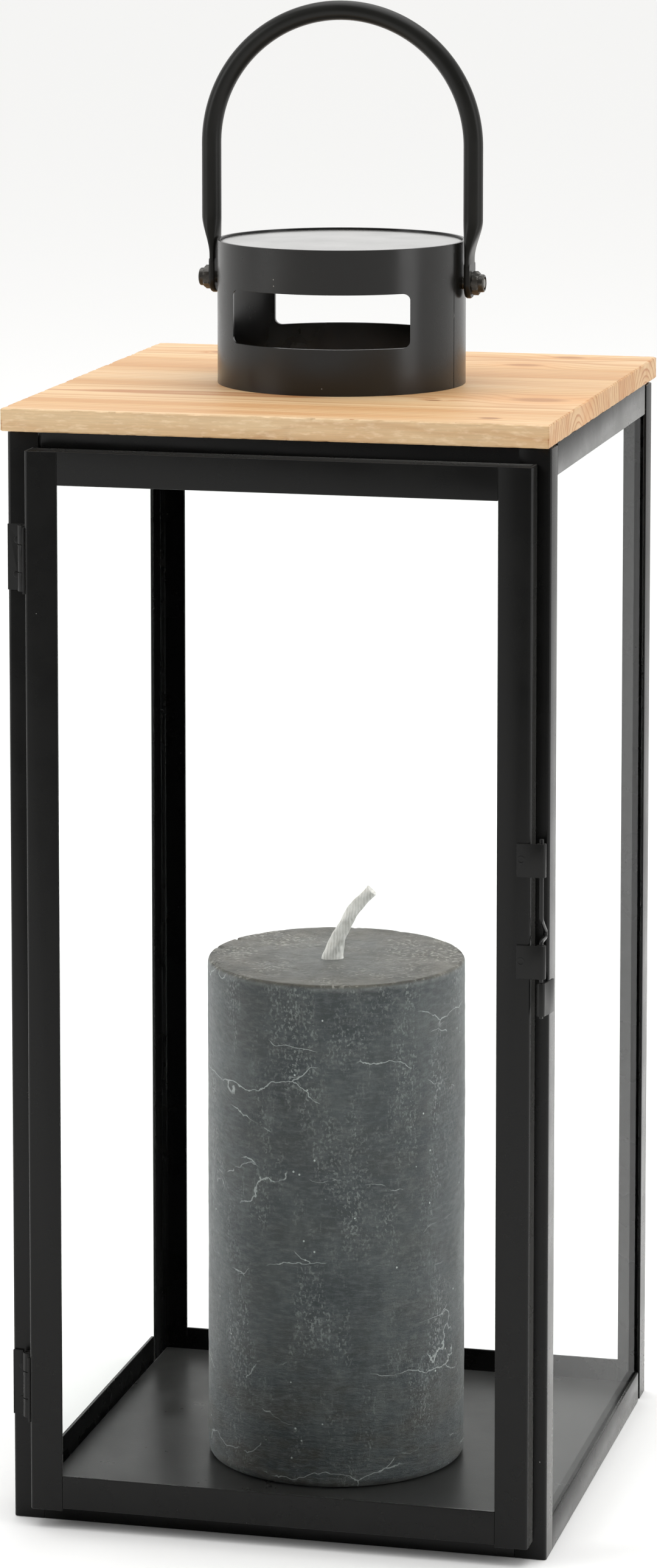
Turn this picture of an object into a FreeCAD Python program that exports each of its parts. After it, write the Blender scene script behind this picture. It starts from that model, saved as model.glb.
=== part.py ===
import FreeCAD, Part
import math
import os
import Sketcher

# Candle lantern: a glazed sheet-metal cage on an angle frame, with a hinged glass door, a wooden
# top board, a round vented cap, a carrying handle and a pillar candle.
# Millimetres. X to the right, Y to the back, Z up. The origin is at the middle of the cage's footprint,
# on the surface that the lantern stands on, and the door is on the -Y side.

os.makedirs("parts", exist_ok=True)
doc = FreeCAD.newDocument("candle_lantern")
dims = doc.addObject("Spreadsheet::Sheet", "dims")
rows = []


def size(name, value):
    rows.append(name)
    cell = "A%d" % len(rows)
    dims.set(cell, repr(value))
    dims.setAlias(cell, name)


# Cage
size("frame_width", 205.0)
size("frame_depth", 205.0)
size("frame_height", 414.5)
size("post_drop", 1.0)
size("angle_leg", 12.0)
size("sheet", 1.2)
size("bend_round", 1.3)
size("front_rail_gap", 1.1)
size("side_rail_gap", 3.5)
# Panes, tray and clips
size("pane", 2.0)
size("pane_play", 0.4)
size("tray_rise", 3.0)
size("tray_sheet", 0.8)
size("tray_round", 1.2)
size("clip_sheet", 0.8)
size("clip_width", 8.0)
size("clip_reach", 7.0)
# Wooden top board
size("board_side_reach", 0.5)
size("board_end_reach", 6.5)
size("board_thick", 8.5)
size("front_stave", 137.0)
size("vent_radius", 36.0)
# Door
size("door_gap", 0.5)
size("door_depth", 9.7)
size("door_inset_left", 9.5)
size("door_inset_right", 5.0)
size("door_low", 7.0)
size("door_drop", 6.5)
size("door_leg", 12.5)
size("door_step", 1.0)
# Hinges
size("leaf_sheet", 0.9)
size("knuckle_radius", 2.4)
size("pin_radius", 1.25)
size("running_play", 0.05)
size("hinge_length", 24.7)
size("middle_knuckle", 10.4)
size("knuckle_gap", 0.25)
size("notch_play", 0.45)
size("upper_hinge_drop", 41.0)
size("lower_hinge_rise", 45.6)
# Latch
size("latch_radius", 0.8)
size("latch_offset", 3.9)
size("guide_sheet", 0.9)
size("guide_overlap", 5.0)
size("guide_width", 12.3)
size("latch_height", 246.05)
size("guide_spacing", 37.5)
size("rod_above_guide", 7.8)
size("rod_below_guide", 20.9)
size("crank_reach", 8.0)
size("crank_drop", 8.2)
size("tab_height", 12.1)
size("tab_rise", 1.0)
size("tab_roll", 1.6)
size("tab_sheet", 0.8)
size("tab_out", 2.6)
size("tab_back", 8.4)
# Cap
size("cap_radius", 47.6)
size("cap_height", 55.0)
size("cap_sheet", 1.2)
size("window_width", 68.8)
size("window_height", 20.5)
size("window_sill", 17.6)
size("window_round", 2.5)
size("seam_angle", 77.0)
size("seam_gap", 0.5)
size("seam_weld", 3.0)
size("lid_drop", 0.7)
size("lid_sheet", 1.0)
# Handle and its pivots
size("pivot_height", 39.2)
size("eye_gap", 1.3)
size("tube_radius", 3.75)
size("tube_offset", 1.4)
size("arch_height", 90.9)
size("flat_sheet", 2.3)
size("flat_half", 5.9)
size("flat_rise", 9.0)
size("taper_rise", 24.0)
size("bolt_radius", 2.5)
size("bolt_head", 2.4)
size("bolt_head_radius", 4.6)
size("nut_across", 8.0)
size("nut_length", 2.8)
size("nut_collar", 2.0)
size("nut_collar_radius", 3.5)
size("nut_play", 0.1)
# Candle
size("candle_radius", 50.0)
size("candle_height", 196.0)
size("candle_forward", 8.0)
size("candle_round", 3.0)
size("wick_radius", 2.2)
size("wick_left", 1.6)
size("wick_depth", 8.0)
size("wick_rise", 27.0)
size("wick_lean", 16.0)
doc.recompute()

made = []


def keep(thing, label):
    thing.Label = label
    made.append(thing)
    return thing


def box(name, low, span):
    # A block from its low corner and its three lengths, all given as expressions.
    block = doc.addObject("Part::Box", name)
    block.setExpression("Length", span[0])
    block.setExpression("Width", span[1])
    block.setExpression("Height", span[2])
    block.setExpression("Placement.Base.x", low[0])
    block.setExpression("Placement.Base.y", low[1])
    block.setExpression("Placement.Base.z", low[2])
    return block


def round_bar(name, radius, length, start, turn=None):
    # A cylinder that starts at a point and runs along Z, or along X or Y when turned.
    bar = doc.addObject("Part::Cylinder", name)
    if turn == "X":
        bar.Placement.Rotation = FreeCAD.Rotation(FreeCAD.Vector(0, 1, 0), 90)
    if turn == "Y":
        bar.Placement.Rotation = FreeCAD.Rotation(FreeCAD.Vector(1, 0, 0), -90)
    bar.setExpression("Radius", radius)
    bar.setExpression("Height", length)
    bar.setExpression("Placement.Base.x", start[0])
    bar.setExpression("Placement.Base.y", start[1])
    bar.setExpression("Placement.Base.z", start[2])
    return bar


def fuse(name, shapes):
    whole = doc.addObject("Part::MultiFuse", name)
    whole.Shapes = shapes
    whole.Refine = True
    return whole


def cut(name, base, tool):
    rest = doc.addObject("Part::Cut", name)
    rest.Base = base
    rest.Tool = tool
    rest.Refine = True
    return rest


def group(name, shapes):
    # Several separate solids of one kind, kept together.
    whole = doc.addObject("Part::Compound", name)
    whole.Links = shapes
    return whole


def origin_plane(body, role):
    for feature in body.Origin.OriginFeatures:
        if feature.Role == role:
            return feature
    raise RuntimeError("no plane " + role)


def sketch_on(body, name, role, offset="0"):
    drawing = body.newObject("Sketcher::SketchObject", name)
    drawing.AttachmentSupport = [(origin_plane(body, role), "")]
    drawing.MapMode = "FlatFace"
    drawing.setExpression("AttachmentOffset.Base.z", offset)
    return drawing


def place(drawing, geometry, point, across, up, start):
    # Pins one point of a sketch at coordinates given as expressions.
    first = drawing.addConstraint(Sketcher.Constraint("DistanceX", -1, 1, geometry, point, start.x))
    second = drawing.addConstraint(Sketcher.Constraint("DistanceY", -1, 1, geometry, point, start.y))
    drawing.setExpression("Constraints[%d]" % first, across)
    drawing.setExpression("Constraints[%d]" % second, up)


def polygon(drawing, corners):
    count = len(corners)
    ring = []
    for i in range(count):
        angle = 2 * math.pi * i / count
        ring.append(FreeCAD.Vector(50 * math.cos(angle), 50 * math.sin(angle), 0))
    for i in range(count):
        drawing.addGeometry(Part.LineSegment(ring[i], ring[(i + 1) % count]), False)
    for i in range(count):
        drawing.addConstraint(Sketcher.Constraint("Coincident", i, 2, (i + 1) % count, 1))
    for i in range(count):
        place(drawing, i, 1, corners[i][0], corners[i][1], ring[i])


def circle(drawing, across, up, radius):
    number = drawing.addGeometry(Part.Circle(FreeCAD.Vector(7, 5, 0), FreeCAD.Vector(0, 0, 1), 3.0), False)
    place(drawing, number, 3, across, up, FreeCAD.Vector(7, 5, 0))
    held = drawing.addConstraint(Sketcher.Constraint("Radius", number, 3.0))
    drawing.setExpression("Constraints[%d]" % held, radius)
    return number


def rounded_rectangle(drawing, half, low, height, radius):
    # Four sides and four quarter arcs, symmetrical about the vertical axis. The arcs' centres are
    # pinned, and each arc's ends are level or upright with its centre.
    centres = [("%s-%s" % (half, radius), "%s+%s" % (low, radius), 30, 10, -90),
               ("%s-%s" % (half, radius), "%s+%s-%s" % (low, height, radius), 30, 20, 0),
               ("%s-(%s)" % (radius, half), "%s+%s-%s" % (low, height, radius), -30, 20, 90),
               ("%s-(%s)" % (radius, half), "%s+%s" % (low, radius), -30, 10, 180)]
    arcs = []
    for across, up, x, y, angle in centres:
        full = Part.Circle(FreeCAD.Vector(x, y, 0), FreeCAD.Vector(0, 0, 1), 2.0)
        quarter = Part.ArcOfCircle(full, math.radians(angle), math.radians(angle + 90))
        arcs.append(drawing.addGeometry(quarter, False))
    for i in range(4):
        a = drawing.getPoint(arcs[i], 2)
        b = drawing.getPoint(arcs[(i + 1) % 4], 1)
        side = drawing.addGeometry(Part.LineSegment(a, b), False)
        drawing.addConstraint(Sketcher.Constraint("Coincident", side, 1, arcs[i], 2))
        drawing.addConstraint(Sketcher.Constraint("Coincident", side, 2, arcs[(i + 1) % 4], 1))
    for i in range(4):
        across, up, x, y, angle = centres[i]
        place(drawing, arcs[i], 3, across, up, FreeCAD.Vector(x, y, 0))
        held = drawing.addConstraint(Sketcher.Constraint("Radius", arcs[i], 2.0))
        drawing.setExpression("Constraints[%d]" % held, radius)
        first = "Vertical" if i % 2 == 0 else "Horizontal"
        second = "Horizontal" if i % 2 == 0 else "Vertical"
        drawing.addConstraint(Sketcher.Constraint(first, arcs[i], 1, arcs[i], 3))
        drawing.addConstraint(Sketcher.Constraint(second, arcs[i], 2, arcs[i], 3))


def pad(body, name, drawing, length):
    block = body.newObject("PartDesign::Pad", name)
    block.Profile = drawing
    block.setExpression("Length", length)
    return block


def pocket(body, name, drawing, upward=False, both=False):
    hole = body.newObject("PartDesign::Pocket", name)
    hole.Profile = drawing
    hole.Type = "ThroughAll"
    hole.Midplane = both
    hole.Reversed = upward
    return hole


def soften(body, name, feature, wanted, radius):
    # Rounds the edges of a feature that a test picks out.
    doc.recompute()
    names = []
    for i, edge in enumerate(feature.Shape.Edges):
        if wanted(edge):
            names.append("Edge%d" % (i + 1))
    if not names:
        raise RuntimeError("no edges for " + name)
    bend = body.newObject("PartDesign::Fillet", name)
    bend.Base = (feature, names)
    bend.setExpression("Radius", radius)
    return bend


def upright_at(x, y):
    # Picks the straight vertical edge at one corner.
    def wanted(edge):
        ends = [v.Point for v in edge.Vertexes]
        near = [abs(p.x - x) + abs(p.y - y) < 0.01 for p in ends]
        return len(ends) == 2 and all(near)
    return wanted


def number(name):
    return float(dims.get(name))


def bent_bar(name, corners, bends, radius):
    # A round wire along straight runs joined by tangent arcs, one bend radius for each inner corner.
    runs = []
    start = corners[0]
    for i in range(1, len(corners) - 1):
        back = (corners[i - 1] - corners[i]).normalize()
        ahead = (corners[i + 1] - corners[i]).normalize()
        half = back.getAngle(ahead) / 2
        bend = bends[i - 1]
        enter = corners[i] + back * (bend / math.tan(half))
        leave = corners[i] + ahead * (bend / math.tan(half))
        middle = corners[i] + (back + ahead).normalize() * (bend / math.sin(half) - bend)
        runs.append(Part.makeLine(start, enter))
        runs.append(Part.Arc(enter, middle, leave).toShape())
        start = leave
    runs.append(Part.makeLine(start, corners[-1]))
    path = Part.Wire(runs)
    end = Part.Wire(Part.makeCircle(radius, corners[0], corners[1] - corners[0]))
    bar = keep(doc.addObject("Part::Feature", name), name)
    bar.Shape = path.makePipeShell([end], True, False)
    return bar


half_w = "dims.frame_width/2"
half_d = "dims.frame_depth/2"
leg = "dims.angle_leg"
thin = "dims.sheet"

# Corner posts: equal angles with the bend outside, standing on the ground.
for side, sx in (("left", -1), ("right", 1)):
    for end, sy in (("front", -1), ("back", 1)):
        name = "post_%s_%s" % (end, side)
        post = keep(doc.addObject("PartDesign::Body", name), name)
        section = sketch_on(post, name + "_section", "XY_Plane")
        x_out = "%d*%s" % (sx, half_w)
        y_out = "%d*%s" % (sy, half_d)
        x_leg = "%d*(%s-%s)" % (sx, half_w, leg)
        y_leg = "%d*(%s-%s)" % (sy, half_d, leg)
        x_in = "%d*(%s-%s)" % (sx, half_w, thin)
        y_in = "%d*(%s-%s)" % (sy, half_d, thin)
        polygon(section, [(x_out, y_out), (x_leg, y_out), (x_leg, y_in),
                          (x_in, y_in), (x_in, y_leg), (x_out, y_leg)])
        bar = pad(post, name + "_bar", section, "dims.frame_height-dims.post_drop")
        soften(post, name + "_bend", bar,
               upright_at(sx * number("frame_width") / 2, sy * number("frame_depth") / 2), "dims.bend_round")

# Rails: angles between the posts. Each has a face in the cage's side and a shelf turned inwards.
for level in ("top", "bottom"):
    if level == "top":
        face_low = "dims.frame_height-" + leg
        shelf_low = "dims.frame_height-" + thin
    else:
        face_low = "0"
        shelf_low = "0"
    for end, sy in (("front", -1), ("back", 1)):
        name = "rail_%s_%s" % (level, end)
        gap = "dims.front_rail_gap" if (level, end) == ("top", "front") else "0"
        y_face = "-" + half_d if sy < 0 else "%s-%s" % (half_d, thin)
        y_shelf = "-%s+%s" % (half_d, thin) if sy < 0 else "%s-%s" % (half_d, leg)
        face = box(name + "_face", ("-(%s-%s)+%s" % (half_w, leg, gap), y_face, face_low),
                   ("dims.frame_width-2*%s-%s" % (leg, gap), thin, leg))
        shelf = box(name + "_shelf", ("-(%s-%s)" % (half_w, thin), y_shelf, shelf_low),
                    ("dims.frame_width-2*%s" % thin, "%s-%s" % (leg, thin), thin))
        keep(fuse(name, [face, shelf]), name)
    for side, sx in (("left", -1), ("right", 1)):
        name = "rail_%s_%s" % (level, side)
        x_face = "-" + half_w if sx < 0 else "%s-%s" % (half_w, thin)
        x_shelf = "-%s+%s" % (half_w, thin) if sx < 0 else "%s-%s" % (half_w, leg)
        face = box(name + "_face", (x_face, "-(%s-%s)" % (half_d, leg), face_low),
                   (thin, "dims.frame_depth-2*%s-dims.side_rail_gap" % leg, leg))
        shelf = box(name + "_shelf", (x_shelf, "-(%s-%s)" % (half_d, leg), shelf_low),
                    ("%s-%s" % (leg, thin), "dims.frame_depth-2*" + leg, thin))
        keep(fuse(name, [face, shelf]), name)

# Floor tray: a shallow pan turned over, resting on the bottom rails' shelves inside the panes.
tray = keep(doc.addObject("PartDesign::Body", "base_tray"), "base_tray")
tray_x = "(%s-%s-dims.pane-dims.pane_play)" % (half_w, thin)
tray_back = "(%s-%s-dims.pane-dims.pane_play)" % (half_d, thin)
tray_front = "(%s-%s-0.3)" % (half_d, thin)
outline = sketch_on(tray, "tray_outline", "XY_Plane", thin)
polygon(outline, [("-" + tray_x, "-" + tray_front), (tray_x, "-" + tray_front),
                  (tray_x, tray_back), ("-" + tray_x, tray_back)])
slab = pad(tray, "tray_slab", outline, "dims.tray_rise")


def top_rim(edge):
    top = number("sheet") + number("tray_rise")
    return all(abs(v.Z - top) < 0.01 for v in edge.Vertexes)


bent = soften(tray, "tray_bend", slab, top_rim, "dims.tray_round")
hollow = sketch_on(tray, "tray_hollow", "XY_Plane", thin)
fold = "dims.tray_sheet"
polygon(hollow, [("-%s+%s" % (tray_x, fold), "-%s+%s" % (tray_front, fold)),
                 ("%s-%s" % (tray_x, fold), "-%s+%s" % (tray_front, fold)),
                 ("%s-%s" % (tray_x, fold), "%s-%s" % (tray_back, fold)),
                 ("-%s+%s" % (tray_x, fold), "%s-%s" % (tray_back, fold))])
under = tray.newObject("PartDesign::Pocket", "tray_under")
under.Profile = hollow
under.Reversed = True
under.setExpression("Length", "dims.tray_rise-dims.tray_sheet")

# Panes of the two sides and the back. They stand on the bottom shelves, behind the posts.
pane_height = "dims.frame_height-2*%s-dims.pane_play" % thin
side_low = "-(%s-%s)+dims.pane_play" % (half_d, thin)
side_span = "dims.frame_depth-2*%s-2*dims.pane_play" % thin
for side, sx in (("left", -1), ("right", 1)):
    x_low = "-(%s-%s)" % (half_w, thin) if sx < 0 else "%s-%s-dims.pane" % (half_w, thin)
    keep(box("glass_" + side, (x_low, side_low, thin), ("dims.pane", side_span, pane_height)), "glass_" + side)
back_half = "(%s-%s-dims.pane-dims.pane_play)" % (half_w, thin)
keep(box("glass_back", ("-" + back_half, "%s-%s-dims.pane" % (half_d, thin), thin),
         ("2*" + back_half, "dims.pane", pane_height)), "glass_back")

# Pane clips: small bent straps under the top shelves, and one at each side pane's lower front corner.
hang_top = "dims.frame_height-" + thin
foot = "dims.clip_sheet"
for side, sx in (("left", -1), ("right", 1)):
    clips = []
    pane_face = "(%s-%s-dims.pane)" % (half_w, thin)
    x_finger = "-" + pane_face if sx < 0 else "%s-%s" % (pane_face, foot)
    x_foot = "-" + pane_face if sx < 0 else "%s-dims.clip_reach" % pane_face
    for place_name, y_mid in (("front", "-dims.frame_depth/4"), ("back", "dims.frame_depth/4")):
        label = "clip_%s_%s" % (side, place_name)
        y_low = "%s-dims.clip_width/2" % y_mid
        finger = box(label + "_finger", (x_finger, y_low, "%s-dims.clip_reach" % hang_top),
                     (foot, "dims.clip_width", "dims.clip_reach"))
        ledge = box(label + "_ledge", (x_foot, y_low, "%s-%s" % (hang_top, foot)),
                    ("dims.clip_reach", "dims.clip_width", foot))
        clips.append(fuse(label, [finger, ledge]))
    label = "clip_%s_corner" % side
    finger = box(label + "_finger", (x_finger, "-(%s-%s)" % (half_d, thin), "dims.sheet+dims.tray_rise+1.5"),
                 (foot, "dims.clip_reach", "dims.clip_width"))
    ledge = box(label + "_ledge", (x_foot, "-(%s-%s)" % (half_d, thin), "dims.sheet+dims.tray_rise+1.5"),
                ("dims.clip_reach", foot, "dims.clip_width"))
    clips.append(fuse(label, [finger, ledge]))
    keep(group("clips_" + side, clips), "clips_" + side)
clips = []
pane_face = "(%s-%s-dims.pane)" % (half_d, thin)
for side, x_mid in (("left", "-dims.frame_width/4"), ("right", "dims.frame_width/4")):
    label = "clip_back_%s" % side
    finger = box(label + "_finger", ("%s-dims.clip_width/2" % x_mid, "%s-%s" % (pane_face, foot),
                                     "%s-dims.clip_reach" % hang_top),
                 ("dims.clip_width", foot, "dims.clip_reach"))
    ledge = box(label + "_ledge", ("%s-dims.clip_width/2" % x_mid, "%s-dims.clip_reach" % pane_face,
                                   "%s-%s" % (hang_top, foot)),
                ("dims.clip_width", "dims.clip_reach", foot))
    clips.append(fuse(label, [finger, ledge]))
keep(group("clips_back", clips), "clips_back")

# Wooden top board, glued from two staves, with a round vent hole under the cap.
board_low = "dims.frame_height"
board_side = "(%s+dims.board_side_reach)" % half_w
board_end = "(%s+dims.board_end_reach)" % half_d
for end in ("front", "back"):
    name = "board_" + end
    if end == "front":
        y_low = "-" + board_end
        span = "dims.front_stave"
    else:
        y_low = "-%s+dims.front_stave" % board_end
        span = "2*%s-dims.front_stave" % board_end
    stave = box(name + "_stave", ("-" + board_side, y_low, board_low),
                ("2*" + board_side, span, "dims.board_thick"))
    vent = round_bar(name + "_vent", "dims.vent_radius", "dims.board_thick+2", ("0", "0", board_low + "-1"))
    keep(cut(name, stave, vent), name)

# Door: four angles round a pane. The stiles run the full height and the rails fit between them.
front = "(%s+dims.door_gap+dims.door_depth)" % half_d
rear = "(%s+dims.door_gap)" % half_d
door_edge = {"left": "(%s-dims.door_inset_left)" % half_w, "right": "(%s-dims.door_inset_right)" % half_w}
door_left = door_edge["left"]
door_width = "(%s+%s)" % (door_left, door_edge["right"])
door_high = "(dims.frame_height-dims.door_drop)"
for side, sx in (("left", -1), ("right", 1)):
    name = "door_stile_" + side
    stile = keep(doc.addObject("PartDesign::Body", name), name)
    section = sketch_on(stile, name + "_section", "XY_Plane", "dims.door_low")
    x_out = "%d*%s" % (sx, door_edge[side])
    x_leg = "%d*(%s-dims.door_leg)" % (sx, door_edge[side])
    x_in = "%d*(%s-%s)" % (sx, door_edge[side], thin)
    y_in = "-%s+%s" % (front, thin)
    polygon(section, [(x_out, "-" + front), (x_leg, "-" + front), (x_leg, y_in),
                      (x_in, y_in), (x_in, "-" + rear), (x_out, "-" + rear)])
    bar = pad(stile, name + "_bar", section, door_high + "-dims.door_low")
    corner_x = number("frame_width") / 2 - number("door_inset_" + side)
    corner_y = -(number("frame_depth") / 2 + number("door_gap") + number("door_depth"))
    soften(stile, name + "_bend", bar, upright_at(sx * corner_x, corner_y), "dims.bend_round")
for level in ("top", "bottom"):
    name = "door_rail_" + level
    if level == "top":
        face_low = door_high + "-dims.door_leg"
        shelf_low = "%s-%s" % (door_high, thin)
    else:
        face_low = "dims.door_low+dims.door_step"
        shelf_low = "dims.door_low+dims.door_step"
    face = box(name + "_face", ("-(%s-dims.door_leg)" % door_left, "-" + front, face_low),
               (door_width + "-2*dims.door_leg", thin, "dims.door_leg"))
    shelf = box(name + "_shelf", ("-(%s-%s)" % (door_left, thin), "-%s+%s" % (front, thin), shelf_low),
                ("%s-2*%s" % (door_width, thin), "dims.door_depth-" + thin, thin))
    keep(fuse(name, [face, shelf]), name)
door_pane_low = "dims.door_low+dims.door_step+%s" % thin
keep(box("door_glass", ("-(%s-%s)+dims.pane_play" % (door_left, thin), "-%s+%s" % (front, thin), door_pane_low),
         ("%s-2*%s-2*dims.pane_play" % (door_width, thin), "dims.pane",
          "%s-dims.door_low-dims.door_step-2*%s-dims.pane_play" % (door_high, thin))), "door_glass")
clips = []
for side, sx in (("left", -1), ("right", 1)):
    inside = "(%s-%s)" % (door_edge[side], thin)
    x_ledge = "-" + inside if sx < 0 else "%s-%s" % (inside, foot)
    x_finger = "-" + inside if sx < 0 else "%s-dims.clip_reach" % inside
    for level in ("low", "high"):
        label = "clip_door_%s_%s" % (side, level)
        z_low = "dims.door_low+30" if level == "low" else door_high + "-30-dims.clip_width"
        y_pane = "-%s+%s+dims.pane" % (front, thin)
        finger = box(label + "_finger", (x_finger, y_pane, z_low), ("dims.clip_reach", foot, "dims.clip_width"))
        ledge = box(label + "_ledge", (x_ledge, y_pane, z_low),
                    (foot, "dims.clip_reach-1.5", "dims.clip_width"))
        clips.append(fuse(label, [finger, ledge]))
keep(group("clips_door", clips), "clips_door")

# Hinges: rolled knuckles on a pin. One leaf is on the post's front, the other on the door's left side.
axis_x = "(-%s-dims.knuckle_radius)" % door_left
hinge_middle = {"upper": "(%s-dims.upper_hinge_drop)" % door_high,
                "lower": "(dims.door_low+dims.lower_hinge_rise)"}
axis_y = "(-%s-dims.knuckle_radius)" % half_d
for level, frame_has_middle in (("upper", False), ("lower", True)):
    middle = hinge_middle[level]
    low_end = "(%s-dims.hinge_length/2)" % middle
    high_end = "(%s+dims.hinge_length/2)" % middle
    low_cut = "(%s-dims.middle_knuckle/2)" % middle
    high_cut = "(%s+dims.middle_knuckle/2)" % middle
    gap = "dims.knuckle_gap"
    end_length = "(dims.hinge_length-dims.middle_knuckle)/2-%s/2" % gap
    spans = {"low": (low_end, end_length),
             "middle": ("%s+%s/2" % (low_cut, gap), "dims.middle_knuckle-" + gap),
             "high": ("%s+%s/2" % (high_cut, gap), end_length)}
    for owner in ("frame", "door"):
        name = "hinge_%s_%s_leaf" % (level, owner)
        own_middle = frame_has_middle == (owner == "frame")
        own = ("middle",) if own_middle else ("low", "high")
        other = ("low", "high") if own_middle else ("middle",)
        if owner == "frame":
            leaf = box(name + "_plate", ("-%s+0.2" % half_w, "-%s-dims.leaf_sheet" % half_d, low_end),
                       ("%s-0.2+%s" % (half_w, axis_x), "dims.leaf_sheet", "dims.hinge_length"))
        else:
            leaf = box(name + "_plate", ("-%s-dims.leaf_sheet" % door_left, "-%s+0.4" % front, low_end),
                       ("dims.leaf_sheet", "%s-0.4+%s" % (front, axis_y), "dims.hinge_length"))
        solids = [leaf]
        for part in own:
            solids.append(round_bar("%s_%s" % (name, part), "dims.knuckle_radius", spans[part][1],
                                    (axis_x, axis_y, spans[part][0])))
        whole = fuse(name + "_whole", solids)
        tools = [round_bar(name + "_bore", "dims.pin_radius+dims.running_play", "dims.hinge_length+2",
                           (axis_x, axis_y, low_end + "-1"))]
        reach = "dims.knuckle_radius+dims.notch_play"
        for part in other:
            start = spans[part][0]
            length = spans[part][1]
            # The notch runs out past the hinge's end, or leaves the knuckle gap on both sides of the middle.
            below = "1" if part == "low" else gap
            above = "1" if part == "high" else gap
            tools.append(box("%s_notch_%s" % (name, part),
                             (axis_x + "-(%s)" % reach, axis_y + "-(%s)" % reach, "%s-%s" % (start, below)),
                             ("2*(%s)" % reach, "2*(%s)" % reach, "%s+%s+%s" % (length, below, above))))
        keep(cut(name, whole, fuse(name + "_tools", tools)), name)
    keep(round_bar("hinge_%s_pin" % level, "dims.pin_radius", "dims.hinge_length",
                   (axis_x, axis_y, low_end)), "hinge_%s_pin" % level)

# Latch: a wire that turns in two rolled guides on the door's right stile, with a crank between them
# that stands back towards the post, and a rolled finger tab that goes round the post's corner.
rod_x = "(%s+dims.latch_offset)" % door_edge["right"]
roll = "(dims.latch_radius+dims.running_play+dims.guide_sheet)"
rod_y = "(-%s-dims.guide_sheet+%s)" % (front, roll)
for level in ("upper", "lower"):
    name = "latch_guide_" + level
    step = "+" if level == "upper" else "-"
    low = "dims.latch_height%sdims.guide_spacing/2-dims.guide_width/2" % step
    strap_x = "%s-dims.guide_overlap" % door_edge["right"]
    strap = box(name + "_strap", (strap_x, "-%s-dims.guide_sheet" % front, low),
                ("dims.guide_overlap+dims.latch_offset", "dims.guide_sheet", "dims.guide_width"))
    eye = round_bar(name + "_eye", roll, "dims.guide_width", (rod_x, rod_y, low))
    bore = round_bar(name + "_bore", "dims.latch_radius+dims.running_play", "dims.guide_width+2",
                     (rod_x, rod_y, low + "-1"))
    keep(cut(name, fuse(name + "_whole", [strap, eye]), bore), name)

wire_x = number("frame_width") / 2 - number("door_inset_right") + number("latch_offset")
wire_roll = number("latch_radius") + number("running_play") + number("guide_sheet")
front_y = -(number("frame_depth") / 2 + number("door_gap") + number("door_depth"))
wire_y = front_y - number("guide_sheet") + wire_roll
upper_z = number("latch_height") + number("guide_spacing") / 2
lower_z = number("latch_height") - number("guide_spacing") / 2
return_z = lower_z + number("guide_width") / 2 + number("latch_radius") + 0.5
nose_y = wire_y + number("crank_reach")
rod_corners = [FreeCAD.Vector(wire_x, wire_y, upper_z + number("rod_above_guide")),
               FreeCAD.Vector(wire_x, wire_y, return_z + number("crank_drop")),
               FreeCAD.Vector(wire_x, nose_y, return_z + 2.3),
               FreeCAD.Vector(wire_x, nose_y - 0.2, return_z),
               FreeCAD.Vector(wire_x, wire_y, return_z),
               FreeCAD.Vector(wire_x, wire_y, lower_z - number("rod_below_guide"))]
bent_bar("latch_rod", rod_corners, [2.5, 1.1, 1.0, 1.2], number("latch_radius"))

tab_low = "dims.latch_height-dims.guide_spacing/2-dims.rod_below_guide+dims.tab_rise"
tab = keep(doc.addObject("PartDesign::Body", "latch_tab"), "latch_tab")
tab_plan = sketch_on(tab, "tab_plan", "XY_Plane", tab_low)
circle(tab_plan, rod_x, rod_y, "dims.tab_roll")
tab_ring = pad(tab, "tab_ring", tab_plan, "dims.tab_height")
plate_plan = sketch_on(tab, "tab_plate_plan", "XY_Plane", tab_low)
skin = "dims.tab_sheet"
polygon(plate_plan, [("%s-0.3" % rod_x, "%s-dims.tab_roll" % rod_y),
                     ("%s+dims.tab_roll-0.35" % rod_x, "%s-0.6*dims.tab_roll" % rod_y),
                     ("%s+dims.tab_out" % rod_x, "%s+0.45*dims.tab_back" % rod_y),
                     ("%s+dims.tab_out+0.6" % rod_x, "%s+dims.tab_back" % rod_y),
                     ("%s+dims.tab_out+0.6-%s" % (rod_x, skin), "%s+dims.tab_back" % rod_y),
                     ("%s+dims.tab_out-%s" % (rod_x, skin), "%s+0.5*dims.tab_back" % rod_y),
                     ("%s+0.95" % rod_x, "%s+0.5" % rod_y),
                     ("%s-0.3" % rod_x, "%s-0.9" % rod_y)])
pad(tab, "tab_plate", plate_plan, "dims.tab_height")
bore_plan = sketch_on(tab, "tab_bore_plan", "XY_Plane", tab_low + "-1")
circle(bore_plan, rod_x, rod_y, "dims.latch_radius")
pocket(tab, "tab_bore", bore_plan, upward=True)

# Cap: a rolled sheet ring on the board, with a window front and back, a butt seam, and a lid let in.
cap_low = "(dims.frame_height+dims.board_thick)"
cap = keep(doc.addObject("PartDesign::Body", "cap_shell"), "cap_shell")
ring_plan = sketch_on(cap, "cap_plan", "XY_Plane", cap_low)
circle(ring_plan, "0", "0", "dims.cap_radius")
circle(ring_plan, "0", "0", "dims.cap_radius-dims.cap_sheet")
pad(cap, "cap_wall", ring_plan, "dims.cap_height")
opening = sketch_on(cap, "window_plan", "XZ_Plane")
sill = "%s+dims.window_sill" % cap_low
rounded_rectangle(opening, "dims.window_width/2", sill, "dims.window_height", "dims.window_round")
pocket(cap, "cap_windows", opening, both=True)
pivot_plan = sketch_on(cap, "cap_pivot_plan", "YZ_Plane")
circle(pivot_plan, "0", "%s+dims.pivot_height" % cap_low, "dims.bolt_radius+dims.running_play")
pocket(cap, "cap_pivot_holes", pivot_plan, both=True)
seam_plan = sketch_on(cap, "seam_plan", "XY_Plane", cap_low + "-1")
ca = "cos(dims.seam_angle)"
sa = "sin(dims.seam_angle)"
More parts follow.
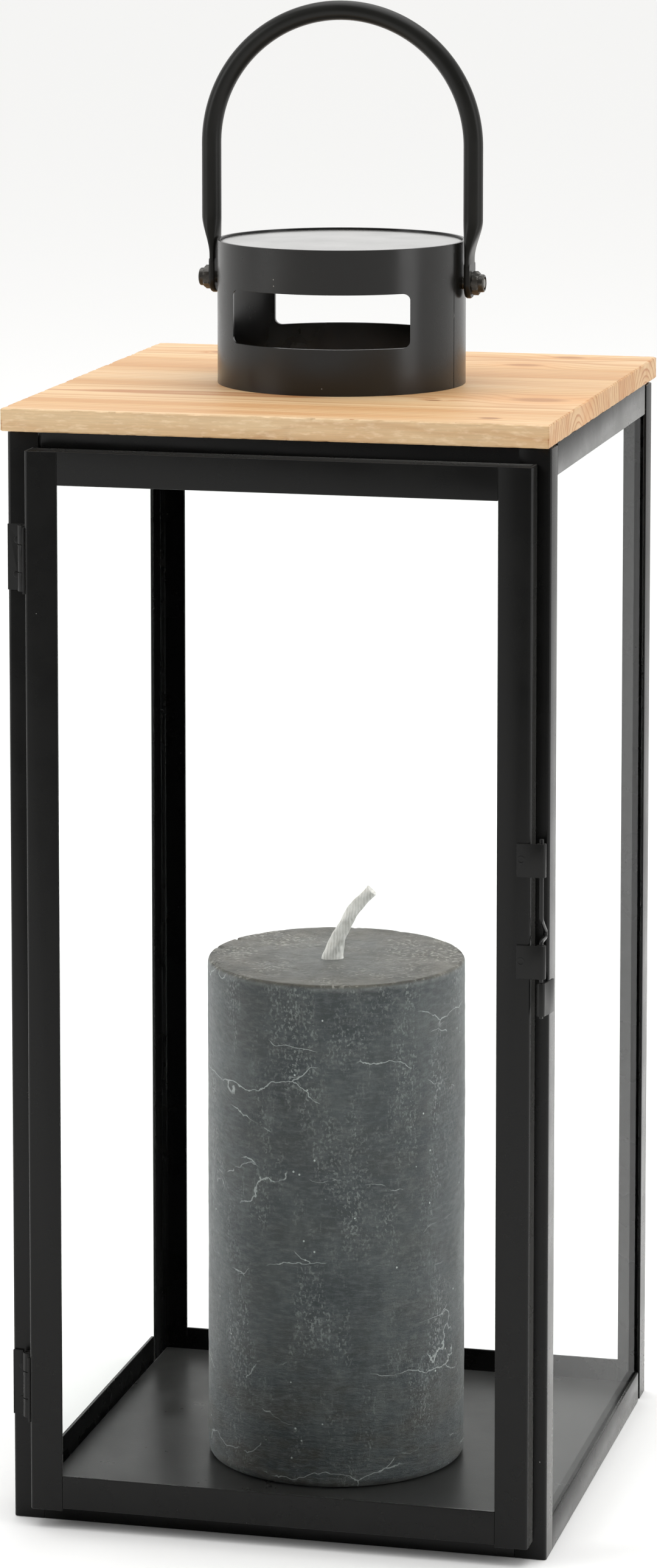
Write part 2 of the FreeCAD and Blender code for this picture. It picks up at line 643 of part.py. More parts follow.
inner = "(dims.cap_radius-2*dims.cap_sheet)"
outer = "(dims.cap_radius+dims.cap_sheet)"
slit = "dims.seam_gap/2"
polygon(seam_plan, [("%s*%s-%s*%s" % (inner, sa, slit, ca), "-%s*%s-%s*%s" % (inner, ca, slit, sa)),
                    ("%s*%s-%s*%s" % (outer, sa, slit, ca), "-%s*%s-%s*%s" % (outer, ca, slit, sa)),
                    ("%s*%s+%s*%s" % (outer, sa, slit, ca), "-%s*%s+%s*%s" % (outer, ca, slit, sa)),
                    ("%s*%s+%s*%s" % (inner, sa, slit, ca), "-%s*%s+%s*%s" % (inner, ca, slit, sa))])
seam = cap.newObject("PartDesign::Pocket", "cap_seam")
seam.Profile = seam_plan
seam.Reversed = True
seam.setExpression("Length", "dims.cap_height-dims.seam_weld+1")
lid_low = "%s+dims.cap_height-dims.lid_drop-dims.lid_sheet" % cap_low
keep(round_bar("cap_lid", "dims.cap_radius-dims.cap_sheet", "dims.lid_sheet", ("0", "0", lid_low)), "cap_lid")

# Handle: a tube bent to an arch, its two ends pressed flat and drilled for the pivots.
pivot_z = "(%s+dims.pivot_height)" % cap_low
arch_z = "(%s+dims.arch_height)" % cap_low
pivot_half = "(dims.cap_radius+dims.eye_gap+dims.flat_sheet/2)"
arch_radius = "(%s+dims.tube_offset)" % pivot_half
arch = doc.addObject("Part::Torus", "handle_arch")
arch.Angle3 = 180
arch.setExpression("Radius1", arch_radius)
arch.setExpression("Radius2", "dims.tube_radius")
arch.Placement.Rotation = FreeCAD.Rotation(FreeCAD.Vector(1, 0, 0), 90)
arch.setExpression("Placement.Base.z", arch_z)
pieces = [arch]
for side, sx in (("left", -1), ("right", 1)):
    taper_z = "(%s+dims.taper_rise)" % pivot_z
    flat_z = "(%s+dims.flat_rise)" % pivot_z
    leg_x = "%d*%s" % (sx, arch_radius)
    eye_x = "%d*%s" % (sx, pivot_half)
    tube = round_bar("handle_tube_" + side, "dims.tube_radius", "%s-%s" % (arch_z, taper_z),
                     (leg_x, "0", taper_z))
    round_end = doc.addObject("Part::Circle", "handle_round_" + side)
    round_end.Placement.Rotation = FreeCAD.Rotation(FreeCAD.Vector(0, 0, 1), 90)
    round_end.setExpression("Radius", "dims.tube_radius")
    round_end.setExpression("Placement.Base.x", leg_x)
    round_end.setExpression("Placement.Base.z", taper_z)
    flat_end = doc.addObject("Part::Ellipse", "handle_oval_" + side)
    flat_end.Placement.Rotation = FreeCAD.Rotation(FreeCAD.Vector(0, 0, 1), 90)
    flat_end.setExpression("MajorRadius", "dims.flat_half")
    flat_end.setExpression("MinorRadius", "dims.flat_sheet/2")
    flat_end.setExpression("Placement.Base.x", eye_x)
    flat_end.setExpression("Placement.Base.z", flat_z)
    taper = doc.addObject("Part::Loft", "handle_taper_" + side)
    taper.Sections = [round_end, flat_end]
    taper.Solid = True
    flat_x = "%s-dims.flat_sheet/2" % eye_x
    strap = box("handle_flat_" + side, (flat_x, "-dims.flat_half", pivot_z),
                ("dims.flat_sheet", "2*dims.flat_half", "dims.flat_rise"))
    eye = round_bar("handle_eye_" + side, "dims.flat_half", "dims.flat_sheet", (flat_x, "0", pivot_z), turn="X")
    pieces += [tube, taper, strap, eye]
drill = round_bar("handle_drill", "dims.bolt_radius+dims.running_play", "2*%s+20" % pivot_half,
                  ("-%s-10" % pivot_half, "0", pivot_z), turn="X")
keep(cut("handle", fuse("handle_blank", pieces), drill), "handle")

# Pivot bolts, headed inside the cap, and lock nuts with a round collar outside the handle's ends.
nut_face = "(%s+dims.flat_sheet/2+dims.nut_play)" % pivot_half
bolt_end = "(%s+dims.nut_length+dims.nut_collar)" % nut_face
head_face = "(dims.cap_radius-dims.cap_sheet-0.5)"
bolts = []
nuts = []
for side, sx in (("left", -1), ("right", 1)):
    shank_x = head_face if sx > 0 else "-" + bolt_end
    head_x = "%s-dims.bolt_head" % head_face if sx > 0 else "-" + head_face
    shank = round_bar("bolt_shank_" + side, "dims.bolt_radius", "%s-%s" % (bolt_end, head_face),
                      (shank_x, "0", pivot_z), turn="X")
    head = round_bar("bolt_head_" + side, "dims.bolt_head_radius", "dims.bolt_head",
                     (head_x, "0", pivot_z), turn="X")
    bolts.append(fuse("bolt_" + side, [shank, head]))
    hexagon = doc.addObject("Part::Prism", "nut_hexagon_" + side)
    hexagon.Polygon = 6
    hexagon.setExpression("Circumradius", "dims.nut_across/2/cos(30)")
    hexagon.setExpression("Height", "dims.nut_length")
    hexagon.Placement.Rotation = FreeCAD.Rotation(FreeCAD.Vector(0, 1, 0), 90)
    hexagon.setExpression("Placement.Base.x", nut_face if sx > 0 else "-%s-dims.nut_length" % nut_face)
    hexagon.setExpression("Placement.Base.z", pivot_z)
    collar_x = "%s+dims.nut_length" % nut_face if sx > 0 else "-" + bolt_end
    collar = round_bar("nut_collar_" + side, "dims.nut_collar_radius", "dims.nut_collar",
                       (collar_x, "0", pivot_z), turn="X")
    bore = round_bar("nut_bore_" + side, "dims.bolt_radius", "%s-%s+2" % (bolt_end, nut_face),
                     ("%s-1" % nut_face if sx > 0 else "-%s-1" % bolt_end, "0", pivot_z), turn="X")
    nuts.append(cut("nut_" + side, fuse("nut_blank_" + side, [hexagon, collar]), bore))
keep(group("pivot_bolts", bolts), "pivot_bolts")
keep(group("pivot_nuts", nuts), "pivot_nuts")

# Pillar candle standing on the tray, a little towards the door, with a stout waxed wick.
candle_low = "(%s+dims.tray_rise)" % thin
candle_top = "(%s+dims.candle_height)" % candle_low
candle_y = "-dims.candle_forward"
candle = keep(doc.addObject("PartDesign::Body", "candle"), "candle")
candle_plan = sketch_on(candle, "candle_plan", "XY_Plane", candle_low)
circle(candle_plan, "0", candle_y, "dims.candle_radius")
wax = pad(candle, "candle_wax", candle_plan, "dims.candle_height")
soften(candle, "candle_rims", wax, lambda edge: len(edge.Vertexes) == 1, "dims.candle_round")
wick_x = "-dims.wick_left"
socket_plan = sketch_on(candle, "wick_socket_plan", "XY_Plane", candle_top)
circle(socket_plan, wick_x, candle_y, "dims.wick_radius")
socket = candle.newObject("PartDesign::Pocket", "wick_socket")
socket.Profile = socket_plan
socket.setExpression("Length", "dims.wick_depth")
wick_foot = number("sheet") + number("tray_rise") + number("candle_height")
wick_start = -number("wick_left")
lean = number("wick_lean")
rise = number("wick_rise")
wick_y = -number("candle_forward")
wick_corners = [FreeCAD.Vector(wick_start, wick_y, wick_foot - number("wick_depth")),
                FreeCAD.Vector(wick_start, wick_y, wick_foot + 1.5),
                FreeCAD.Vector(wick_start + 0.34 * lean, wick_y, wick_foot + 0.52 * rise),
                FreeCAD.Vector(wick_start + lean, wick_y, wick_foot + rise)]
bent_bar("wick", wick_corners, [12.0, 10.0], number("wick_radius"))

doc.recompute()
for thing in doc.Objects:
    if "Invalid" in thing.State or "Error" in thing.State:
        raise RuntimeError("failed: %s %s" % (thing.Name, thing.State))
for thing in made:
    if thing.Shape.isNull() or not thing.Shape.isValid():
        raise RuntimeError("bad shape: " + thing.Label)
for thing in made:
    thing.Shape.exportStep("parts/%s.step" % thing.Label)
    print("%-24s %d solid(s) %10.1f mm3" % (thing.Label, len(thing.Shape.Solids), thing.Shape.Volume))
whole_box = FreeCAD.BoundBox()
for thing in made:
    whole_box.add(thing.Shape.BoundBox)
print(len(made), "pieces", whole_box)
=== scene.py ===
import bpy
import bmesh
import math
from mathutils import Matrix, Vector, noise


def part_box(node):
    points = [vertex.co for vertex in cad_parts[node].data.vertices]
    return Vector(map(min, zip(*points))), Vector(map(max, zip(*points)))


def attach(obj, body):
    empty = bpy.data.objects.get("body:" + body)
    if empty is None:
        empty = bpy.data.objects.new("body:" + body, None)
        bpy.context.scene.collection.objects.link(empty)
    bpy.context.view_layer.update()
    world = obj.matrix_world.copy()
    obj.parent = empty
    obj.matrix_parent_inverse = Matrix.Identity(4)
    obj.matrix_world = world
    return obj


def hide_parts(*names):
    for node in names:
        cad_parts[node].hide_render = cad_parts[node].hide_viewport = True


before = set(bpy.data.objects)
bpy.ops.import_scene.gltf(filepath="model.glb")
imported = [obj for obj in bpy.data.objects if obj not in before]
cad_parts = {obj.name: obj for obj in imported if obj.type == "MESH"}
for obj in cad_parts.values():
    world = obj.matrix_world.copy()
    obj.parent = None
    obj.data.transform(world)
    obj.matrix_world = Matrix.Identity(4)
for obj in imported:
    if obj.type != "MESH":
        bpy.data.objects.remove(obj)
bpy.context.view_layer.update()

# ---- Cage ----
# Four corner posts and eight rails of 1.2 mm sheet folded to angles, welded and powder coated black.
# The guillotined edges are only just eased, and the coat has a fine orange peel with specks of dust in it.


def blank(name):
    # An empty material and its tree.
    finish = bpy.data.materials.new(name)
    finish.use_nodes = True
    finish.node_tree.nodes.clear()
    return finish, finish.node_tree


def add(tree, kind, **values):
    # Adds a node. Names of settings are lower case, and those of sockets begin with a capital.
    made = tree.nodes.new(kind if "Node" in kind else "ShaderNode" + kind)
    for key, value in values.items():
        if key[0].isupper():
            feed(tree, made.inputs[key.replace("_", " ")], value)
        else:
            setattr(made, key, value)
    return made


def feed(tree, spot, value):
    # Links a socket to an input, or sets the input to a plain value.
    if isinstance(value, bpy.types.NodeSocket):
        tree.links.new(value, spot)
    else:
        spot.default_value = value


def sums(tree, operation, *terms):
    made = add(tree, "Math", operation=operation)
    for spot, value in zip(made.inputs, terms):
        feed(tree, spot, value)
    return made.outputs[0]


def plus(tree, first, second):
    return sums(tree, "ADD", first, second)


def times(tree, first, second):
    return sums(tree, "MULTIPLY", first, second)


def clouds(tree, place, scale, detail, rough=0.5):
    return add(tree, "TexNoise", Vector=place, Scale=scale, Detail=detail, Roughness=rough).outputs["Fac"]


def fade(tree, value, low, high, start=0.0, end=1.0):
    # Runs from start to end while the value runs from low to high, and stays there beyond them.
    return add(tree, "MapRange", Value=value, From_Min=low, From_Max=high, To_Min=start,
               To_Max=end).outputs[0]


def ramp(tree, amount, *stops):
    # A colour ramp from pairs of position and colour.
    made = add(tree, "ValToRGB", Fac=amount)
    band = made.color_ramp.elements
    while len(band) < len(stops):
        band.new(0.5)
    for element, (position, colour) in zip(band, stops):
        element.position = position
        element.color = (*colour, 1.0) if len(colour) == 3 else (colour[0],) * 3 + (1.0,)
    return made.outputs[0]


def blend_colours(tree, amount, first, second, way="MIX"):
    made = add(tree, "Mix", data_type="RGBA", blend_type=way)
    for spot, value in zip((made.inputs[0], made.inputs[6], made.inputs[7]), (amount, first, second)):
        feed(tree, spot, (*value, 1.0) if isinstance(value, tuple) else value)
    return made.outputs[2]


def finished(finish, shader):
    # Shows the shader on the material.
    add(finish.node_tree, "OutputMaterial", Surface=shader.outputs[0])
    return finish


def powder_coat(name, colour, gloss, peel=0.12, flecks=0.5, spot_welds=(), shine=0.20, haze=0.16):
    finish, tree = blank(name)
    place = add(tree, "TexCoord").outputs["Object"]
    cloud = clouds(tree, place, 38.0, 5.0, 0.6)
    skin = clouds(tree, place, 1500.0, 2.0)
    # Dust: a few cells of a fine lattice hold one pale speck each.
    grit = add(tree, "TexVoronoi", Vector=place, Scale=260.0)
    near = sums(tree, "LESS_THAN", grit.outputs["Distance"], 0.055)
    lot = add(tree, "SeparateColor", Color=grit.outputs["Color"]).outputs[0]
    rare = sums(tree, "GREATER_THAN", lot, 1.0 - 0.05 * flecks)
    speck = times(tree, near, rare)
    tone = ramp(tree, cloud, (0.25, tuple(0.75 * c for c in colour)), (0.75, tuple(1.3 * c for c in colour)))
    body_colour = blend_colours(tree, speck, tone, (0.30, 0.30, 0.28))
    rough = fade(tree, cloud, 0.3, 0.7, gloss - 0.05, gloss + 0.06)
    height = plus(tree, skin, times(tree, speck, 2.0))
    for spot in spot_welds:
        # Spot welds leave round dents with a raised rim.
        far = add(tree, "VectorMath", operation="DISTANCE")
        tree.links.new(place, far.inputs[0])
        far.inputs[1].default_value = spot
        dent = ramp(tree, times(tree, far.outputs["Value"], 500.0), (0.0, (0.0,)), (0.42, (0.1,)),
                    (0.6, (1.0,)), (0.8, (0.55,)))
        height = plus(tree, height, times(tree, dent, 9.0))
    dimple = add(tree, "Bump", Strength=peel, Distance=0.00006, Height=height)
    paint = add(tree, "BsdfPrincipled", Base_Color=body_colour, Roughness=rough,
                Normal=dimple.outputs[0], Specular_IOR_Level=shine, Sheen_Weight=haze,
                Sheen_Roughness=0.25, Sheen_Tint=(1.0, 0.99, 0.94, 1.0))
    return finished(finish, paint)


def settle(name, mesh, body, stands_for, finishes):
    # Hands a finished mesh over: its object stays at the origin and rides on its body.
    mesh.materials.clear()
    for finish in finishes:
        mesh.materials.append(finish)
    piece = bpy.data.objects.new(name, mesh)
    bpy.context.scene.collection.objects.link(piece)
    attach(piece, body)
    if stands_for:
        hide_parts(*stands_for)
    return piece


def made_mesh(work, name):
    mesh = bpy.data.meshes.new(name)
    work.to_mesh(mesh)
    work.free()
    return mesh


def shade(mesh, sharp=32.0):
    # Smooth faces, split along every edge that turns more than the given angle.
    work = bmesh.new()
    work.from_mesh(mesh)
    for face in work.faces:
        face.smooth = True
    for edge in work.edges:
        if len(edge.link_faces) == 2:
            edge.smooth = edge.calc_face_angle(0.0) < math.radians(sharp)
    work.to_mesh(mesh)
    work.free()


def eased(node, name, body, finishes, ease=0.0002, steps=2, sort_faces=None):
    # The drawn shape with its corners joined and every sharp edge eased by a small round.
    work = bmesh.new()
    work.from_mesh(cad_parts[node].data)
    bmesh.ops.remove_doubles(work, verts=work.verts, dist=1e-6)
    bmesh.ops.dissolve_limit(work, angle_limit=math.radians(0.4), verts=work.verts, edges=work.edges)
    for face in work.faces:
        face.smooth = sort_faces is None
        face.material_index = sort_faces(face) if sort_faces else 0
    mesh = made_mesh(work, name)
    piece = settle(name, mesh, body, [node], finishes)
    round_off = piece.modifiers.new("eased_edges", "BEVEL")
    round_off.width = ease
    round_off.segments = steps
    round_off.limit_method = "ANGLE"
    round_off.angle_limit = math.radians(34)
    round_off.harden_normals = sort_faces is None
    return piece


coat = powder_coat("black_powder_coat", (0.0042, 0.0042, 0.0039), 0.27)
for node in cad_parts:
    if node.startswith("post_") or node.startswith("rail_"):
        eased(node, "steel_" + node, "frame", [coat], ease=0.00025)

# A welded lug closes the narrow gap between the front rail and the left post from behind.
post_low, post_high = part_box("post_front_left")
lug = bmesh.new()
bmesh.ops.create_cube(lug, size=1.0)
for corner in lug.verts:
    corner.co = Vector((post_high.x + 0.0005 + 0.006 * corner.co.x, post_low.y + 0.00155 + 0.0007 * corner.co.y,
                        post_high.z - 0.0062 + 0.010 * corner.co.z))
bmesh.ops.bevel(lug, geom=lug.edges[:], offset=0.0002, segments=2, affect="EDGES")
lug_mesh = made_mesh(lug, "corner_lug")
settle("corner_lug", lug_mesh, "frame", [], [coat])

# ---- Floor tray and pane clips ----
# A shallow pan of thin sheet laid upside down over the bottom rails, with a softer sheen than the posts,
# and small bent tabs of the same sheet that hold the panes.
tray_coat = powder_coat("tray_coat", (0.013, 0.013, 0.0125), 0.31, peel=0.3, flecks=0.4)
eased("base_tray", "floor_tray", "frame", [tray_coat], ease=0.0003)
for node in ("clips_left", "clips_right", "clips_back"):
    eased(node, "pane_" + node, "frame", [coat], ease=0.00015)
eased("clips_door", "pane_clips_door", "door", [coat], ease=0.00015)

# ---- Panes ----
# Clear 2 mm float glass, cut and ground along its edges, where it looks green.
# One pane in each side, one in the back and one in the door.


def pane_glass(name, tint, haze, ior):
    finish, tree = blank(name)
    place = add(tree, "TexCoord").outputs["Object"]
    smear = clouds(tree, place, 14.0, 6.0, 0.65)
    film = fade(tree, smear, 0.45, 0.8, haze[0], haze[1])
    clear = add(tree, "BsdfPrincipled", Roughness=film, Base_Color=(*tint, 1.0), Transmission_Weight=1.0,
                IOR=ior)
    through = add(tree, "BsdfTransparent", Color=(*[c ** 0.5 for c in tint], 1.0))
    lamp = add(tree, "LightPath").outputs["Is Shadow Ray"]
    join = tree.nodes.new("ShaderNodeMixShader")
    tree.links.new(lamp, join.inputs[0])
    tree.links.new(clear.outputs[0], join.inputs[1])
    tree.links.new(through.outputs[0], join.inputs[2])
    return finished(finish, join)


glass = pane_glass("clear_pane", (0.985, 0.995, 0.99), (0.0, 0.03), 1.03)
ground = pane_glass("ground_pane_edge", (0.30, 0.50, 0.42), (0.25, 0.4), 1.5)
for node, across, body in (("glass_left", 0, "frame"), ("glass_right", 0, "frame"), ("glass_back", 1, "frame"),
                           ("door_glass", 1, "door")):
    eased(node, "pane_" + node, body, [glass, ground], ease=0.0002, steps=1,
          sort_faces=lambda face, a=across: 0 if abs(face.normal[a]) > 0.9 else 1)

# ---- Door ----
# Two stiles and two rails of the same folded angle round a pane. The stiles run the full height, and the
# rails are welded between them.
for node in ("door_stile_left", "door_stile_right", "door_rail_top", "door_rail_bottom"):
    eased(node, "steel_" + node, "door", [coat], ease=0.0003, steps=3)

# ---- Hinges ----
# Two small butt hinges of rolled sheet on steel pins. Each leaf is spot welded, which leaves round marks.


def grow(name, holder, tree, repeat, leave, finish, values):
    # Realizes what the tree repeats, paints it, and makes a plain mesh of it with the values set.
    real = add(tree, "GeometryNodeRealizeInstances")
    smooth = add(tree, "GeometryNodeSetShadeSmooth")
    paint = add(tree, "GeometryNodeSetMaterial", Material=finish)
    for first, second in ((repeat, real), (real, smooth), (smooth, paint), (paint, leave)):
        tree.links.new(first.outputs[0], second.inputs[0])
    step = holder.modifiers.new(name, "NODES")
    step.node_group = tree
    for socket, value in values.items():
        step[socket.identifier] = value
    grown = bpy.data.meshes.new_from_object(holder.evaluated_get(bpy.context.evaluated_depsgraph_get()))
    bpy.data.objects.remove(holder)
    return grown


def spot_marks(name, spots, facing, body, finish, radius=0.0013, rise=0.00012):
    # One shallow round mark at each spot, made once in a node tree and repeated at the points.
    marks = bpy.data.meshes.new(name + "_spots")
    marks.from_pydata([tuple(s) for s in spots], [], [])
    holder = bpy.data.objects.new(name + "_spots", marks)
    bpy.context.scene.collection.objects.link(holder)
    tree = bpy.data.node_groups.new(name + "_pattern", "GeometryNodeTree")
    tree.interface.new_socket("Points", in_out="INPUT", socket_type="NodeSocketGeometry")
    wide = tree.interface.new_socket("Mark radius", in_out="INPUT", socket_type="NodeSocketFloat")
    high = tree.interface.new_socket("Mark height", in_out="INPUT", socket_type="NodeSocketFloat")
    tree.interface.new_socket("Marks", in_out="OUTPUT", socket_type="NodeSocketGeometry")
    enter, leave = add(tree, "NodeGroupInput"), add(tree, "NodeGroupOutput")
    bead = add(tree, "GeometryNodeMeshUVSphere", Segments=20, Rings=10, Radius=1.0)
    reach = enter.outputs["Mark radius"]
    size = add(tree, "CombineXYZ", X=reach, Y=reach, Z=enter.outputs["Mark height"])
    repeat = add(tree, "GeometryNodeInstanceOnPoints", Points=enter.outputs["Points"],
                 Instance=bead.outputs["Mesh"], Scale=size.outputs[0],
                 Rotation=Vector(facing).to_track_quat("Z", "Y").to_euler())
    grown = grow(name, holder, tree, repeat, leave, finish, {wide: radius, high: rise})
    return settle(name, grown, body, [], [finish])


hinge_coat = powder_coat("hinge_coat", (0.006, 0.006, 0.0056), 0.30, peel=0.25, flecks=1.0)
pin_steel = powder_coat("hinge_pin_coat", (0.012, 0.012, 0.011), 0.30, peel=0.1)
for level in ("upper", "lower"):
    for owner in ("frame", "door"):
        eased("hinge_%s_%s_leaf" % (level, owner), "leaf_%s_%s" % (level, owner), owner,
              [hinge_coat], ease=0.00018, steps=3)
    eased("hinge_%s_pin" % level, "pin_" + level, "frame", [pin_steel], ease=0.0005, steps=4)
    low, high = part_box("hinge_%s_frame_leaf" % level)
    rise = high.z - low.z
    x, leaf_face = low.x + 0.0034, -0.1034
    spot_marks("weld_marks_%s_hinge" % level,
               [(x, leaf_face, low.z + 0.24 * rise), (x + 0.0004, leaf_face, low.z + 0.76 * rise)],
               (0, -1, 0), "frame", hinge_coat)

# ---- Latch ----
# A bright-drawn wire, painted over, turns in two rolled straps on the door's right stile. Its crank holds
# behind the post, and a small rolled tab at its foot is for the finger.
wire_coat = powder_coat("latch_wire_coat", (0.010, 0.010, 0.010), 0.17, peel=0.05, flecks=0.2)
for level in ("upper", "lower"):
    low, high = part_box("latch_guide_" + level)
    strap_coat = powder_coat("strap_coat_" + level, (0.006, 0.006, 0.0056), 0.30, peel=0.25, flecks=1.0,
                             spot_welds=[(low.x + 0.0017, low.y, low.z + 0.0064)])
    eased("latch_guide_" + level, "latch_strap_" + level, "door", [strap_coat], ease=0.0002,
          steps=3)
eased("latch_rod", "latch_wire", "latch", [wire_coat], ease=0.0002, steps=3)
eased("latch_tab", "latch_finger_tab", "latch", [hinge_coat], ease=0.0002, steps=3)

# ---- Wooden top ----
# Two pine staves glued edge to edge, planed and left unfinished, with a vent hole under the cap. Their
# edges are rough from the saw, and knots and growth rings show on the top and the end grain.


glue_y = 0.028


def mapped(tree, place, scale, shift=(0.0, 0.0, 0.0)):
    return add(tree, "Mapping", Vector=place, Scale=scale, Location=shift).outputs[0]


def pine(name):
    finish, tree = blank(name)
    place = add(tree, "TexCoord").outputs["Object"]
    parts = add(tree, "SeparateXYZ", Vector=place)
    x, y, z = parts.outputs
    back = sums(tree, "GREATER_THAN", y, glue_y)
    # Each stave has its own heart, well below it, and the rings wander slowly along the grain.
    drift = add(tree, "TexNoise", noise_dimensions="1D", W=times(tree, x, 9.0), Scale=1.0,
                Detail=2.0).outputs["Fac"]
    heart_y = plus(tree, times(tree, back, 0.135), -0.050)
    heart_z = plus(tree, times(tree, back, -0.002), 0.401)
    wander = fade(tree, drift, 0.0, 1.0, -0.005, 0.005)
    across = plus(tree, sums(tree, "SUBTRACT", y, heart_y), wander)
    above = plus(tree, sums(tree, "SUBTRACT", z, heart_z), times(tree, wander, 0.35))
    # Knots: buds that push the rings aside, most of them near the right end.
    knots = ((0.085, -0.038, 0.0066), (0.0575, 0.0685, 0.0048), (0.070, 0.0975, 0.0040), (0.078, -0.094, 0.0026),
             (0.047, -0.048, 0.0018), (-0.071, 0.083, 0.0020))
    push = None
    dark = None
    for kx, ky, size in knots:
        gap = add(tree, "CombineXYZ", X=times(tree, sums(tree, "SUBTRACT", x, kx), 0.55),
                  Y=sums(tree, "SUBTRACT", y, ky))
        far = add(tree, "VectorMath", operation="LENGTH")
        tree.links.new(gap.outputs[0], far.inputs[0])
        reach = far.outputs["Value"]
        bulge = sums(tree, "EXPONENT", times(tree, sums(tree, "POWER", sums(
            tree, "DIVIDE", reach, 2.3 * size), 2.0), -1.0))
        core = fade(tree, reach, 0.55 * size, 1.1 * size, 1.0, 0.0)
        bulge = times(tree, bulge, 1.6 * size)
        push = bulge if push is None else plus(tree, push, bulge)
        dark = core if dark is None else sums(tree, "MAXIMUM", dark, core)
    radius = sums(tree, "SQRT", plus(tree, sums(tree, "POWER", across, 2.0), sums(tree, "POWER", above, 2.0)))
    radius = plus(tree, radius, push)
    stretched = mapped(tree, place, (14.0, 260.0, 260.0))
    waver = clouds(tree, stretched, 1.0, 4.0)
    spread = add(tree, "TexNoise", noise_dimensions="1D", W=times(tree, radius, 70.0), Scale=1.0,
                 Detail=3.0).outputs["Fac"]
    turns = plus(tree, times(tree, radius, 310.0), times(tree, waver, 0.35))
    turns = plus(tree, turns, times(tree, spread, 3.0))
    year = sums(tree, "FRACT", turns)
    late = ramp(tree, year, (0.0, (0.0,)), (0.55, (0.12,)), (0.86, (1.0,)), (1.0, (0.05,)))
    pale = clouds(tree, stretched, 0.12, 3.0)
    early = ramp(tree, pale, (0.3, (0.63, 0.395, 0.185)), (0.7, (0.73, 0.530, 0.310)))
    bands = mapped(tree, place, (5.0, 75.0, 75.0), (0.4, 1.3, 0.0))
    brown = clouds(tree, bands, 1.0, 4.0)
    brown = fade(tree, brown, 0.49, 0.66, 0.0, 0.7)
    near_glue = fade(tree, y, 0.060, 0.036, 0.0, 0.8)
    brown = sums(tree, "MAXIMUM", brown, times(tree, near_glue, back))
    early = blend_colours(tree, brown, early, (0.55, 0.290, 0.115))
    strength = fade(tree, spread, 0.3, 0.7, 0.35)
    ends = sums(tree, "GREATER_THAN", sums(tree, "ABSOLUTE", x), 0.1024)
    sawn = sums(tree, "GREATER_THAN", sums(tree, "ABSOLUTE", y), 0.1084)
    strength = times(tree, strength, sums(tree, "SUBTRACT", 1.0, times(tree, sawn, 0.72)))
    strength = sums(tree, "MAXIMUM", strength, times(tree, ends, 0.95))
    wood = blend_colours(tree, times(tree, late, strength), early, (0.43, 0.175, 0.052))
    fibres = mapped(tree, place, (60.0, 2200.0, 2200.0))
    hair = clouds(tree, fibres, 1.0, 3.0)
    wood = blend_colours(tree, 0.22, wood, ramp(tree, hair, (0.3, (0.45,)), (0.7, (1.0,))), "MULTIPLY")
    wood = blend_colours(tree, times(tree, dark, 0.9), wood, (0.18, 0.076, 0.030))
    halo = fade(tree, push, 0.001, 0.007, 0.0, 0.5)
    wood = blend_colours(tree, halo, wood, (0.62, 0.31, 0.12))
    # The glue line, and grime that has settled in the end grain.
    line = sums(tree, "LESS_THAN", sums(tree, "ABSOLUTE", sums(tree, "SUBTRACT", y, glue_y)), 0.00013)
    wood = blend_colours(tree, times(tree, line, 0.55), wood, (0.28, 0.13, 0.05))
    wood = blend_colours(tree, times(tree, ends, 0.15), wood, (0.62, 0.42, 0.23), "MULTIPLY")
    chatter = mapped(tree, place, (240.0, 500.0, 900.0))
    torn = clouds(tree, chatter, 1.0, 3.0)
    pale_fibre = fade(tree, torn, 0.52, 0.75, 0.0, 0.35)
    wood = blend_colours(tree, times(tree, sawn, pale_fibre), wood, (0.96, 0.76, 0.52))
    rough = fade(tree, hair, 0.0, 1.0, 0.42, 0.66)
    height = sums(tree, "SUBTRACT", hair, times(tree, late, 0.5))
    height = plus(tree, height, times(tree, times(tree, sawn, torn), 0.6))
    tooth = add(tree, "Bump", Strength=0.35, Distance=0.00012, Height=height)
    planed = add(tree, "BsdfPrincipled", Base_Color=wood, Roughness=rough, Normal=tooth.outputs[0])
    return finished(finish, planed)


def rings_to_mesh(name, rings, closed_start=False, closed_end=False, loop=False):
    # Joins rings of equal count with quads.
    count = len(rings[0])
    corners = [tuple(p) for ring in rings for p in ring]
    faces = []
    last = len(rings) if loop else len(rings) - 1
    for r in range(last):
        a = r * count
        b = ((r + 1) % len(rings)) * count
        for i in range(count):
            j = (i + 1) % count
            faces.append((a + i, a + j, b + j, b + i))
    if closed_start:
        faces.append(tuple(reversed(range(count))))
    if closed_end:
        faces.append(tuple(range((len(rings) - 1) * count, len(rings) * count)))
    mesh = bpy.data.meshes.new(name)
    mesh.from_pydata(corners, [], faces)
    work = bmesh.new()
    work.from_mesh(mesh)
    bmesh.ops.remove_doubles(work, verts=work.verts, dist=1e-7)
    bmesh.ops.recalc_face_normals(work, faces=work.faces)
    work.to_mesh(mesh)
    work.free()
    return mesh


front_low, front_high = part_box("board_front")
back_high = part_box("board_back")[1]
half = Vector((front_high.x, back_high.y))
under, over = front_low.z, front_high.z
edge_points = []
per_side = 150
for side in range(4):
    for i in range(per_side):
        t = 2 * i / per_side - 1
        edge_points.append(((half.x * t, -half.y), (half.x, half.y * t), (-half.x * t, half.y),
                            (-half.x, -half.y * t))[side])
vent = 0.036


def outline(inset, z, chip, seed):
    # The board's edge, set in by a little and bitten into by small splinters.
    ring = []
    for px, py in edge_points:
        rough = noise.fractal(Vector((px * 240, py * 240, seed)), 0.7, 2.0, 4)
        bite = chip * max(0.0, rough - 0.05) * 1.6 + inset
        # Scaling keeps the points in order round a corner, so that no face folds over its neighbour.
        ring.append(Vector((px * (1 - bite / half.x), py * (1 - bite / half.y), z)))
    return ring


